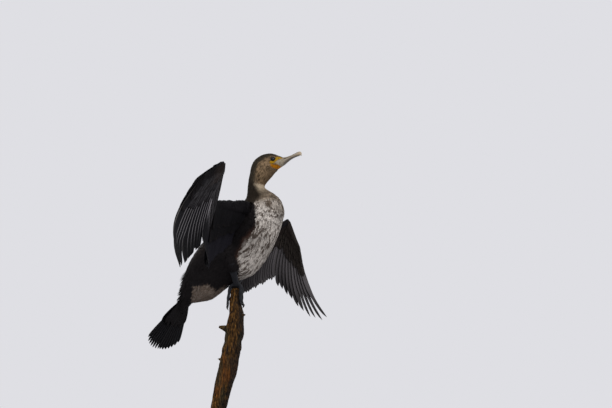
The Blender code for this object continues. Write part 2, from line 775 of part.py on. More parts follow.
def make_leg(side_name, torso, perch):
    leg = {name: np.array(point, float) for name, point in LEGS[side_name].items()}
    ankle, joint, hip = leg["ankle"], leg["joint"], leg["hip"]
    along = unit(joint - ankle)
    shank_path = [ankle - along * 3, between(ankle, joint, 0.12), between(ankle, joint, 0.5), joint]
    shank = tube("shank_" + side_name, shank_path, SHANK_RADII, 12, "foot_skin", LEG_FLATNESS, LEG_FLAT_WAY)
    thigh_path = [hip, between(hip, ankle, 0.5), ankle]
    thigh = tube("thigh_" + side_name, thigh_path, THIGH_RADII, 14, "pale_underparts",
                 LEG_FLATNESS, LEG_FLAT_WAY)
    cut(thigh, swollen(torso, GAP))
    foot = cut(make_foot(side_name), swollen(perch, GAP))
    cut(shank, swollen(foot, GAP))
    cut(shank, swollen(thigh, GAP))
    cut(shank, swollen(torso, GAP))
    return thigh, shank, foot


def make_branch():
    rings = []
    for height, left, radius in BRANCH:
        centre = vec(0, 0, height) + OUTLINE_LEFT * left
        ring = []
        for k in range(BRANCH_SIDES):
            turn = 2 * math.pi * k / BRANCH_SIDES
            rough = 1 + 0.045 * math.sin(3 * turn + height / 21) + 0.03 * math.sin(5 * turn - height / 13)
            rough += 0.015 * math.sin(9 * turn + height / 7)
            away = OUTLINE_LEFT * math.cos(turn) + OUTLINE_NEAR * math.sin(turn)
            ring.append(centre + away * radius * rough)
        rings.append(ring)
    branch = loft("perch", rings, "wood")
    stubs = []
    for height, (left, near), length, radius in STUBS:
        centre, _ = branch_axis(height)
        way = unit(OUTLINE_LEFT * left + OUTLINE_NEAR * near + vec(0, 0, 0.25))
        path = [centre + way * length * s for s in (0.1, 0.6, 0.85, 1.0)]
        stubs.append(tube("stub", path, [radius, radius * 0.8, radius * 0.55, radius * 0.3], 9))
    return joined(branch, stubs)


def make_stand():
    bm = bmesh.new()
    wide = BASE_RADIUS * MM
    bmesh.ops.create_cone(bm, cap_ends=True, segments=40, radius1=wide, radius2=wide, depth=BASE_THICKNESS * MM)
    base = add_object("stand_base", bm, "stand")
    base.location = (0, 0, BASE_THICKNESS / 2 * MM)
    edge = base.modifiers.new("edge", "BEVEL")
    edge.width = BASE_EDGE * MM
    edge.segments = 1
    edge.limit_method = "ANGLE"
    perch_foot = PERCH_TOP[2] + BRANCH[-1][0]
    bm = bmesh.new()
    length = perch_foot - BASE_THICKNESS - 2 * GAP
    wide = ROD_RADIUS * MM
    bmesh.ops.create_cone(bm, cap_ends=True, segments=24, radius1=wide, radius2=wide, depth=length * MM)
    rod = add_object("stand_rod", bm, "stand")
    foot = PERCH_TOP + branch_axis(BRANCH[-1][0])[0]
    rod.location = (foot[0] * MM, foot[1] * MM, (BASE_THICKNESS + GAP + length / 2) * MM)
    return base, rod


clear_scene()
PAINTS = make_materials()
MODEL = collected("cormorant")

torso = trunk_piece("torso", BODY_SECTIONS, TRUNK_SIDES, "pale_underparts", open_start=True, open_end=True)
neck_lower = trunk_piece("neck_lower", NECK_LOWER_SECTIONS, TRUNK_SIDES, "pale_underparts", True, True)
neck_upper = trunk_piece("neck_upper", NECK_UPPER_SECTIONS, TRUNK_SIDES, "brown_neck", True, True)
head = make_head()
bill_upper = bill_piece("bill_upper", UPPER_BILL, "horn", 0.8)
bill_lower = bill_piece("bill_lower", LOWER_BILL, "horn", 0.8)
for side_name, side in SIDES.items():
    nasal_groove(bill_upper, side)
    centre = face_point(EYE_CENTRE[0], EYE_CENTRE[1], side * EYE_CENTRE[2])
    finish(ball("eye_" + side_name, centre, EYE_RADIUS, "eye"))
tail = make_tail(section(*BODY_SECTIONS[0], TRUNK_SIDES))
perch = make_branch()
for side_name in SIDES:
    for piece in make_wing(side_name, torso) + make_leg(side_name, torso, perch):
        finish(piece)
for side_name in SIDES:
    cut(torso, swollen(bpy.data.objects["foot_" + side_name], FOOT_ROOM))
for piece in (torso, neck_lower, neck_upper, head, bill_upper, bill_lower, tail, perch, *make_stand()):
    finish(piece)
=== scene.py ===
"""A young great cormorant drying its wings on a dead branch, as a museum shows it.

Metres, +Z up. The bird faces -Y, and its right side is -X. The body's own sizes are in millimetres
from the top of the branch between its feet, as (side, -forward, up); from_perch() gives metres.
"""

import math

import bmesh
import bpy
import numpy as np
from mathutils import Matrix, Vector, noise
from mathutils.bvhtree import BVHTree
from mathutils.kdtree import KDTree


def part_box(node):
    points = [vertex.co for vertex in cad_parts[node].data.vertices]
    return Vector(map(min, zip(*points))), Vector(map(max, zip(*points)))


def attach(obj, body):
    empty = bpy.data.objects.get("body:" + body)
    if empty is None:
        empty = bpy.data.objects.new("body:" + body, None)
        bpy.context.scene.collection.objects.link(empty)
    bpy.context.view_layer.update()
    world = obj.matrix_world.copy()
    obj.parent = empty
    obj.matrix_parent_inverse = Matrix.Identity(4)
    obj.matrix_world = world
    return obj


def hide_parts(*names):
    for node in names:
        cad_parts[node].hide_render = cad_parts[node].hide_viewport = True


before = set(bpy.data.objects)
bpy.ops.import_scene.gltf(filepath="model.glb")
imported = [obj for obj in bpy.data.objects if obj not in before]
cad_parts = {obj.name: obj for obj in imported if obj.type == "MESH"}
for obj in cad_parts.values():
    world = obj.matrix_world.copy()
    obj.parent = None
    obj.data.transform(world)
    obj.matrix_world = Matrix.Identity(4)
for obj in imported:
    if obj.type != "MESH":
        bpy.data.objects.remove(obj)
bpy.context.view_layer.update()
bpy.ops.object.select_all(action="DESELECT")
scene = bpy.context.scene

# The view: a lens of medium length looks up at the bird from its right and a little in front, from
# just above the floor.
VIEW_FROM = Vector((-1.72198, -0.80297, 0.04))
VIEW_YAW = math.radians(71.396)
VIEW_PITCH = math.radians(15.495)
VIEW_LENS = 45.0  # millimetres, on a sensor 36 mm wide

ahead = Vector((math.sin(VIEW_YAW) * math.cos(VIEW_PITCH), math.cos(VIEW_YAW) * math.cos(VIEW_PITCH),
                math.sin(VIEW_PITCH)))
across = Vector((math.cos(VIEW_YAW), -math.sin(VIEW_YAW), 0.0))
bpy.ops.object.camera_add()
camera = bpy.context.object
camera.name = "camera"
camera.data.lens = VIEW_LENS
camera.data.sensor_width = 36.0
camera.data.clip_start = 0.01
view_turn = Matrix((across, across.cross(ahead), -ahead)).transposed()
camera.matrix_world = Matrix.Translation(VIEW_FROM) @ view_turn.to_4x4()
scene.camera = camera
scene.view_settings.view_transform = "Standard"

# The studio: a pale floor under an even pale sky, a broad light from the bird's front and a weaker
# one from behind it.
SKY = (0.738, 0.738, 0.775)
LIGHTS = (
    # name, place, size, power
    ("front light", (-1.3, -2.4, 2.0), 1.6, 30.0),
    ("side light", (-2.6, 0.6, 1.4), 1.6, 8.0),
    ("back light", (1.9, 1.9, 1.9), 1.2, 20.0),
)
LIT_PLACE = Vector((0.0, 0.0, 0.45))
FLOOR_RADIUS = 3.0
FLOOR_PAINT = (0.42, 0.42, 0.435, 1.0)

world = bpy.data.worlds.new("studio")
world.use_nodes = True
world.node_tree.nodes["Background"].inputs["Color"].default_value = (*SKY, 1.0)
scene.world = world
for name, place, size, power in LIGHTS:
    bpy.ops.object.light_add(type="AREA", location=place)
    light = bpy.context.object
    light.name = name
    light.data.size = size
    light.data.energy = power
    aim = LIT_PLACE - light.location
    light.rotation_euler = aim.to_track_quat("-Z", "Y").to_euler()
bpy.ops.mesh.primitive_circle_add(vertices=96, radius=FLOOR_RADIUS, fill_type="NGON")
floor = bpy.context.object
floor.name = "floor"
paint = bpy.data.materials.new("studio floor")
paint.use_nodes = True
paint.node_tree.nodes["Principled BSDF"].inputs["Base Color"].default_value = FLOOR_PAINT
paint.node_tree.nodes["Principled BSDF"].inputs["Roughness"].default_value = 0.9
floor.data.materials.append(paint)

# The skin: one soft hide over trunk, neck, head, thighs and the arms of both wings, stretched over
# the mount's body form. Feathers hide it, but for the bare face. The coat stands up from it.
MM = 0.001
PERCH_TOP = Vector((0.016, -0.034, 0.345))
MIDLINE = Vector((8.0, 2.5, 2.0))
BILL_SKIN = (
    # forward, up, half width and half height of the bare skin round the root of the bill
    (112, 324.5, 13.0, 14.0), (118, 322.8, 11.5, 12.6), (123, 322.2, 10.6, 11.4), (128, 323.3, 9.6, 9.9),
)
BODY_LINE = (
    # outline of the plumage at the back and at the belly, as (forward, up), from tail to bill
    ((-152, -4), (-124, -32)), ((-146, 30), (-98, -31)), ((-132, 70), (-66, -27)), ((-112, 104), (-30, -4)),
    ((-86, 134), (8, 16)), ((-52, 158), (44, 28)), ((-24, 186), (76, 62)), ((0, 208), (100, 104)),
    ((16, 224), (118, 148)), ((22, 232), (128, 187)), ((24, 242), (119, 218)), ((24.5, 250), (98, 239)),
    ((26, 270), (71, 262)), ((28, 286), (79, 273)), ((32, 305), (92, 285)), ((42, 329), (101, 295)),
    ((60, 342), (108, 300.5)), ((80, 346.5), (112, 303.5)), ((100, 343.5), (116, 306)),
    ((123, 333), (123.5, 311)),
)
NAPE = 12  # the row of BODY_LINE where the neck is narrowest, and the one where the torso ends
TORSO_END = 9
WINGS = {
    # shoulder, elbow, wrist and hand's end; the ways that the outermost and the innermost feathers
    # of each group point; and how far the shafts bow towards the wing's back
    "right": {
        "side": -1.0,
        "joints": ((-48, -48, 194), (-193, -25, 164), (-312, -100, 216), (-384, -88, 170)),
        "primaries": ((-0.05, 0.235, -0.968), (-0.56, -0.12, -0.82)),
        "secondaries": ((-0.01, 0.25, -0.967), (0.16, 0.1, -0.98)),
        "tertials": ((0.13, 0.20, -0.967), (-0.05, 0.40, -0.9)),
        "bow": 28.0,
    },
    "left": {
        "side": 1.0,
        "joints": ((64, -48, 194), (160, 29, 147), (262, -40, 232), (334, -42, 183)),
        "primaries": ((0.12, 0.21, -0.97), (0.46, -0.24, -0.855)),
        "secondaries": ((0.08, 0.25, -0.965), (0.03, 0.3, -0.954)),
        "tertials": ((0.02, 0.31, -0.952), (-0.1, 0.42, -0.9)),
        "bow": 24.0,
    },
}
LEGS = {
    # hip, ankle, and the joint of shank and foot
    "right": ((-38, 10, 84), (-42, -5, 54), (-12.5, -6, 10)),
    "left": ((52, 16, 84), (61, 5, 54), (13, 9, 10)),
}
TROUSER = (
    # how far past the ankle, half width fore and aft, and half width across
    (-26, 19, 17), (-8, 16, 14.5), (6, 14.5, 13), (17, 13, 11.5), (23, 10, 8.5),
)
LIMB_HALF_WIDTHS = (19.0, 19.0, 15.0, 12.0, 12.0, 11.0, 7.5, 3.5)
LIMB_FLATNESS = 0.5
TAIL_ROOT = (-138, -19)  # forward, up
TAIL_LEAN = math.radians(30.0)
TAIL_FLESH = ((-12, 25, 16), (8, 24, 14), (24, 22, 9), (40, 16, 4))  # down the axis, half width, half depth
SKIN_VOXEL = 0.0023
FLESH_SWELL = 0.0004  # that the skin stands off the mount's form, before the coat's depth is taken off
HIP_UP, HIP_OUT, HIP_DEPTH = (0.03, 0.112), 0.022, (-0.07, 0.06)  # where the thighs run into the flanks
FACE_FORWARD, FACE_UP = 70.0, 298.0  # ahead of and above these the skin has finer faces
COAT_DEPTHS = ((0, 5.0), (TORSO_END, 4.2), (NAPE, 2.6), (14, 2.4), (17, 1.6), (18.4, 0.8), (19, 0.4))
ARM_DEPTH = 1.0
CROWN_RISE = 2.2  # how much higher than the mount's head form the crown stands
EYE_CENTRE = (99.5, 326.5, 13.2)  # forward, up, sideways
EYE_RADIUS = 5.4
EYE_SQUASH = 0.9  # the height of the opening between the lids for its width
LID_EDGE, LID_FOOT = 4.2, 7.6  # from the eye's axis
LID_RISE = 0.55  # from the ball to the rim of the lids
MOUTH = ((86.0, 315.2), (126.0, 324.7))
MOUTH_DEPTH, MOUTH_HALF = 0.9, 0.8


def from_perch(point):
    return PERCH_TOP + Vector(point) * MM


def face_point(forward, up, sideways=0.0):
    return from_perch(MIDLINE + Vector((sideways, -forward, up)))


def select_only(*chosen):
    bpy.ops.object.select_all(action="DESELECT")
    for obj in chosen:
        obj.select_set(True)
    bpy.context.view_layer.objects.active = chosen[0]


def own_mesh(obj):
    """What the object looks like with its modifiers becomes its mesh."""
    select_only(obj)
    for modifier in list(obj.modifiers):
        bpy.ops.object.modifier_apply(modifier=modifier.name)
    return obj


def copy_of(node, swell=0.0):
    """A welded copy of a node of the frame, pushed outwards by swell."""
    copy = bpy.data.objects.new(node + " form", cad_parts[node].data.copy())
    copy.data.materials.clear()
    scene.collection.objects.link(copy)
    bm = bmesh.new()
    bm.from_mesh(copy.data)
    bmesh.ops.remove_doubles(bm, verts=bm.verts, dist=1e-6)
    bm.normal_update()
    for vert in bm.verts:
        vert.co += vert.normal * swell
    bm.to_mesh(copy.data)
    bm.free()
    return copy


def ringed_form(name, rows):
    """A closed form over rings of as many points each."""
    bm = bmesh.new()
    rows = [[bm.verts.new(point) for point in row] for row in rows]
    for low, high in zip(rows, rows[1:]):
        for k in range(len(low)):
            after = (k + 1) % len(low)
            bm.faces.new((low[k], low[after], high[after], high[k]))
    bm.faces.new(rows[0])
    bm.faces.new(rows[-1])
    bmesh.ops.recalc_face_normals(bm, faces=bm.faces)
    mesh = bpy.data.meshes.new(name)
    bm.to_mesh(mesh)
    bm.free()
    form = bpy.data.objects.new(name, mesh)
    scene.collection.objects.link(form)
    return form


def oval(centre, half_a, half_b, sides=16):
    turns = [2 * math.pi * k / sides for k in range(sides)]
    return [from_perch(centre + half_a * math.cos(t) + half_b * math.sin(t)) for t in turns]


def limb_form(wing):
    """The arm of a wing without its feathers: flattened sections from inside the body to the hand."""
    side = wing["side"]
    joints = [Vector(joint) for joint in wing["joints"]]
    path = [joints[0] + Vector((-side * 22, 6, -4)), joints[0]]
    for low, high in zip(joints, joints[1:]):
        path += [low.lerp(high, 0.5), high]
    rows = []
    for i, (point, width) in enumerate(zip(path, LIMB_HALF_WIDTHS)):
        before = (point - path[i - 1]).normalized() if i else (path[1] - point).normalized()
        after = (path[i + 1] - point).normalized() if i + 1 < len(path) else before
        plane = (before + after).normalized()
        back = plane.cross(Vector((0, 0.2, -1))) * side
        back = (back - plane * back.dot(plane)).normalized()
        rows.append(oval(point, back.cross(plane) * width, back * width * LIMB_FLATNESS))
    return ringed_form("arm form", rows)


def tail_form():
    """The fleshy root of the tail, from inside the trunk to where the quills stand free."""
    root = MIDLINE + Vector((0, -TAIL_ROOT[0], TAIL_ROOT[1]))
    axis = Vector((0, math.sin(TAIL_LEAN), -math.cos(TAIL_LEAN)))
    back = Vector((0, math.cos(TAIL_LEAN), math.sin(TAIL_LEAN)))
    rows = [oval(root + axis * reach, Vector((wide, 0, 0)), back * deep) for reach, wide, deep in TAIL_FLESH]
    return ringed_form("tail form", rows)


def trouser_form(leg):
    """The feathered end of the thigh, which comes down over the top of the shank."""
    hip, ankle, joint = (Vector(point) for point in LEGS[leg])
    down = (joint - ankle).normalized()
    ahead = Vector((0, -1, 0))
    ahead = (ahead - down * ahead.dot(down)).normalized()
    beside = down.cross(ahead)
    up_thigh = (hip - ankle).normalized()
    rows = []
    for reach, wide, deep in TROUSER:
        middle = ankle + (down * reach if reach > 0 else up_thigh * -reach)
        rows.append(oval(middle, ahead * wide, beside * deep))
    return ringed_form("trouser form", rows)


def smooth_step(low, high, values):
    t = np.clip((np.asarray(values, float) - low) / (high - low), 0.0, 1.0)
    return t * t * (3 - 2 * t)


def beside_run(places, start, end, low=0.0):
    """How far along the run from start to end each place lies, as a share of it, and how far off it."""
    run = end - start
    t = np.clip((places - start) @ run / (run @ run), low, 1.0)
    return t, np.linalg.norm(places - start - t[:, None] * run, axis=1)


def leg_share(points, near, far):
    """1 within near millimetres of a shank's axis, falling to 0 at far, and that axis's way down."""
    local = (np.asarray(points) - np.array(PERCH_TOP)) / MM
    most, ways = np.zeros(len(local)), np.zeros((len(local), 3))
    for _, ankle, joint in LEGS.values():
        ankle, joint = np.array(ankle, float), np.array(joint, float)
        share = 1 - smooth_step(near, far, beside_run(local, ankle, joint, -0.25)[1])
        ways[share > most] = (joint - ankle) / np.linalg.norm(joint - ankle)
        most = np.maximum(most, share)
    return most, ways


def bill_skin_form():
    """The bare skin that runs a little way over the root of the bill."""
    rows = [oval(MIDLINE + Vector((0, -ahead, up)), Vector((wide, 0, 0)), Vector((0, 0, high)), 24)
            for ahead, up, wide, high in BILL_SKIN]
    return ringed_form("bill skin form", rows)


def body_places(points):
    """For points in metres: how far along BODY_LINE they lie, counted in rows, their share of the way
    from back to belly there, and their (forward, up, sideways) in millimetres."""
    local = (np.asarray(points) - np.array(PERCH_TOP)) / MM - np.array(MIDLINE)
    forward_up = np.stack([-local[:, 1], local[:, 2]], 1)
    backs = np.array([back for back, _ in BODY_LINE], float)
    bellies = np.array([belly for _, belly in BODY_LINE], float)
    middles = (backs + bellies) / 2
    best = np.full(len(local), np.inf)
    along = np.zeros(len(local))
    for i in range(len(middles) - 1):
        t, off = beside_run(forward_up, middles[i], middles[i + 1])
        nearer = off < best
        best[nearer] = off[nearer]
        along[nearer] = i + t[nearer]
    rows = np.arange(len(middles))
    back = np.stack([np.interp(along, rows, backs[:, k]) for k in (0, 1)], 1)
    belly = np.stack([np.interp(along, rows, bellies[:, k]) for k in (0, 1)], 1)
    down = belly - back
    share = ((forward_up - back) * down).sum(1) / (down * down).sum(1)
    return along, np.clip(share, 0, 1), forward_up[:, 0], forward_up[:, 1], local[:, 0]


def gathered(collection, field, width=3, kind=np.float32):
    """One field of all the elements of a mesh's collection, in rows of width."""
    values = np.empty(len(collection) * width, kind)
    collection.foreach_get(field, values)
    return values.reshape(-1, width)


def mesh_points(mesh):
    return gathered(mesh.vertices, "co").astype(float)


def mesh_normals(mesh):
    return gathered(mesh.vertex_normals, "vector").astype(float)


def set_points(mesh, points):
    mesh.vertices.foreach_set("co", points.astype(np.float32).ravel())


def joined(forms, name):
    select_only(*forms)
    if len(forms) > 1:
        bpy.ops.object.join()
    forms[0].name = forms[0].data.name = name
    return forms[0]


def remeshed(forms, name, voxel, rounds):
    """The forms joined into one closed skin of even faces, and smoothed."""
    whole = joined(forms, name)
    remesh = whole.modifiers.new("even faces", "REMESH")
    remesh.mode = "VOXEL"
    remesh.voxel_size = voxel
    soften = whole.modifiers.new("soften", "SMOOTH")
    soften.iterations = rounds
    soften.factor = 0.5
    return own_mesh(whole)


def relax(bm, verts, rounds):
    for _ in range(rounds):
        bmesh.ops.smooth_vert(bm, verts=verts, factor=0.5, use_axis_x=True, use_axis_y=True, use_axis_z=True)


def on_face(vert):
    ahead_of = PERCH_TOP.y + (MIDLINE.y - FACE_FORWARD) * MM
    above = PERCH_TOP.z + (MIDLINE.z + FACE_UP) * MM
    return vert.co.y < ahead_of and vert.co.z > above


flesh_nodes = ("torso", "neck_lower", "neck_upper", "head", "thigh_right", "thigh_left")
forms = [copy_of(node, FLESH_SWELL) for node in flesh_nodes]
forms += [limb_form(wing) for wing in WINGS.values()] + [trouser_form(leg) for leg in LEGS]
forms += [tail_form(), bill_skin_form()]
skin = remeshed(forms, "skin", SKIN_VOXEL, 8)

# The thighs run softly into the flanks, and the face is set out finely enough for its folds
bm = bmesh.new()
bm.from_mesh(skin.data)
hips = [v for v in bm.verts if PERCH_TOP.z + HIP_UP[0] < v.co.z < PERCH_TOP.z + HIP_UP[1]
        and abs(v.co.x - PERCH_TOP.x - MIDLINE.x * MM) > HIP_OUT
        and HIP_DEPTH[0] < v.co.y - PERCH_TOP.y < HIP_DEPTH[1]]
relax(bm, hips, 40)
for _ in (0, 1):
    face = [edge for edge in bm.edges if all(on_face(vert) for vert in edge.verts)]
    bmesh.ops.subdivide_edges(bm, edges=face, cuts=1, use_grid_fill=True)
    relax(bm, [vert for vert in bm.verts if on_face(vert)], 3)
bm.to_mesh(skin.data)
bm.free()

points, normals = mesh_points(skin.data), mesh_normals(skin.data)
along, share, forward, up, sideways = body_places(points)
depth = np.interp(along, *zip(*COAT_DEPTHS))
on_arm = smooth_step(44, 84, np.abs(sideways)) * smooth_step(90, 120, up)
crown = smooth_step(13.2, 14.6, along) * (1 - smooth_step(16.8, 18.2, along))
crown = crown * (1 - smooth_step(0.1, 0.5, share))
depth = depth * (1 - on_arm) + ARM_DEPTH * on_arm - crown * CROWN_RISE
points -= normals * depth[:, None] * MM


def hill(values, middle, width):
    """1 at the middle, falling softly to 0 on both sides of it."""
    return np.exp(-(((values - middle) / width) ** 2))


def from_eye(forward, up):
    return np.hypot(forward - EYE_CENTRE[0], (up - EYE_CENTRE[1]) / EYE_SQUASH)


# Sockets, lids and the line of the mouth
near_face = (forward > FACE_FORWARD) & (up > FACE_UP + 2)
off_axis = from_eye(forward, up)
out = np.abs(sideways) - depth * np.abs(normals[:, 0])
ball = EYE_CENTRE[2] + np.sqrt(np.maximum(EYE_RADIUS**2 - off_axis**2, 0.0))
rim = ball + LID_RISE - smooth_step(LID_EDGE + 0.9, LID_FOOT, off_axis) * 1.2
lid = smooth_step(LID_EDGE - 0.7, LID_EDGE, off_axis) * (1 - smooth_step(LID_EDGE + 0.8, LID_FOOT, off_axis))
socket = 1 - smooth_step(LID_EDGE - 0.9, LID_EDGE - 0.1, off_axis)
out = out * (1 - lid) + np.maximum(rim, out) * lid
out = out * (1 - socket) + (EYE_CENTRE[2] - 1.0) * socket
eye_side = near_face & (off_axis < LID_FOOT + 2) & (np.abs(sideways) > 6)
points[eye_side, 0] = PERCH_TOP.x + (MIDLINE.x + np.sign(sideways) * out)[eye_side] * MM
_, off_mouth = beside_run(np.stack([forward, up], 1), *np.array(MOUTH))
groove = hill(off_mouth, 0.0, MOUTH_HALF) * near_face * (np.abs(sideways) > 4) * MOUTH_DEPTH
points -= normals * groove[:, None] * MM
set_points(skin.data, points)
skin.data.update()

# The markings of a young bird: dark above, on the flanks and under the wings, a brown neck, and a
# greyish white breast and belly mottled with brown. Skin and coat take them from here.
BLACK = (0.0088, 0.0080, 0.0090)
BLACK_EDGE = (0.0165, 0.0140, 0.0135)
MANTLE = (0.030, 0.0235, 0.0185)
RUSTY = (0.055, 0.026, 0.017)
CROWN = (0.038, 0.031, 0.021)
NAPE_BROWN = (0.022, 0.017, 0.012)
CHEEK = (0.215, 0.146, 0.083)
THROAT = (0.56, 0.45, 0.31)
BREAST = (0.25, 0.193, 0.136)
BREAST_DARK = (0.040, 0.027, 0.018)
BELLY = (0.80, 0.735, 0.66)
BELLY_DARK = (0.084, 0.062, 0.048)
VENT = (0.150, 0.112, 0.085)
# For the rows of BODY_LINE: the share of the way from back to belly at which the dark back ends
DARK_ENDS = (1.05, 0.80, 0.60, 0.86, 0.99, 0.73, 0.64, 0.65, 0.54, 0.38, 0.50, 0.58, 0.54, 0.44,
             0.36, 0.35, 0.36, 0.36, 0.30, 0.18)
ROW_RUN, GIRTH = 33.0, 120.0  # about how long a row and the way from back to belly are
LORES = ((105.5, 332), (112, 332.6), (118, 331.2), (124.5, 328.8), (118, 326.6), (110.5, 322), (105, 317.6),
         (103.5, 312.4), (94, 313.6), (90.5, 317), (91.5, 321.4), (96, 322.6), (101, 321.6), (105.6, 325))
GULAR = ((94, 313.5), (102.5, 312), (107, 313), (113.5, 310.4), (118, 307.8), (113, 304.6), (105.7, 302.8),
         (98, 304.6), (93, 309))
THIGH = ((-50, 70), (2, 66), (12, 52), (12, 30), (4, 10), (-12, -8), (-40, 0), (-60, 20))
MANDIBLE_SKIN = ((104.3, 316.6), (110.5, 321.8), (118, 326.4), (126, 328), (126, 306.5), (120, 306),
                 (113.5, 310.4))
BILL_ROOT, CAP_ROOT = 117.0, 121.0  # no feather stands ahead of these on the cheeks and on the forehead
YELLOW, OLIVE = (0.42, 0.23, 0.005), (0.13, 0.075, 0.005)
ORANGE, DARK_ORANGE = (0.44, 0.155, 0.002), (0.22, 0.090, 0.002)
HORN_SKIN, HORN_STAIN = (0.355, 0.305, 0.222), (0.20, 0.165, 0.115)
EYELID = (0.020, 0.015, 0.010)
EYE_RING = 7.2  # how far the bare skin reaches round the eye


def mixed(a, b, share):
    """a where share is 0 and b where it is 1. Each is one colour, or a row for each share."""
    share = np.asarray(share, float)[:, None]
    return np.asarray(a, float) * (1 - share) + np.asarray(b, float) * share


def streaks(points, scale, squash=1.0):
    """Soft noise from 0 to 1 at points in metres, drawn out along the body's height by squash."""
    return np.array([0.5 + 0.5 * noise.noise(Vector((x / scale, y / scale, z / (scale * squash))))
                     for x, y, z in points])


def grain(along, share, sideways, run, width):
    """Soft noise from 0 to 1 whose marks are about run long down the body and width wide."""
    places = np.stack([along * ROW_RUN / run, share * GIRTH / width, sideways / width], 1)
    return np.array([0.5 + 0.5 * noise.noise(Vector(place)) for place in places])


def inside(outline, forward, up, soft):
    """1 inside an outline on the side of the face, falling to 0 over the distance soft round it."""
    corners = np.array(outline, float)
    place = np.stack([forward, up], 1)
    crossings = np.zeros(len(place), int)
    nearest = np.full(len(place), np.inf)
    for a, b in zip(corners, np.roll(corners, -1, 0)):
        nearest = np.minimum(nearest, beside_run(place, a, b)[1])
        spans = (a[1] > place[:, 1]) != (b[1] > place[:, 1])
        rise = b[1] - a[1] if b[1] != a[1] else 1e-9
        crossings += spans & (place[:, 0] < a[0] + (place[:, 1] - a[1]) / rise * (b[0] - a[0]))
    return smooth_step(-soft, soft, np.where(crossings % 2 == 1, nearest, -nearest))


def bareness(points):
    """How bare the skin is: 1 on the lores, the gape, the base of the lower mandible and the lids."""
    _, _, forward, up, _ = body_places(points)
    root = np.where(up > 329.5, CAP_ROOT, BILL_ROOT)
    bare = smooth_step(root - 1, root + 1, forward) * (up > FACE_UP)
    for outline in (LORES, GULAR, MANDIBLE_SKIN):
        bare = np.minimum(bare + inside(outline, forward, up, 1.6), 1.0)
    return np.maximum(bare, 1 - smooth_step(EYE_RING - 1, EYE_RING, from_eye(forward, up)))


def arm_share(up, sideways):
    """1 on the arms of the wings and 0 on the trunk."""
    return smooth_step(52.0, 64.0, np.abs(sideways)) * smooth_step(85.0, 115.0, up)


def mantle_share(along, share):
    """1 on the back and the shoulders, where the feathers are broad."""
    up_back = smooth_step(2.0, 4.0, along) * (1 - smooth_step(8.8, 10.2, along))
    return (1 - smooth_step(0.20, 0.40, share)) * up_back


def patchy(a, b, base, contrast, noise_share, most=1.0):
    """a and b in soft patches: base is the share of b at middling noise."""
    return mixed(a, b, np.clip(base + contrast * (noise_share - 0.5), 0, most))


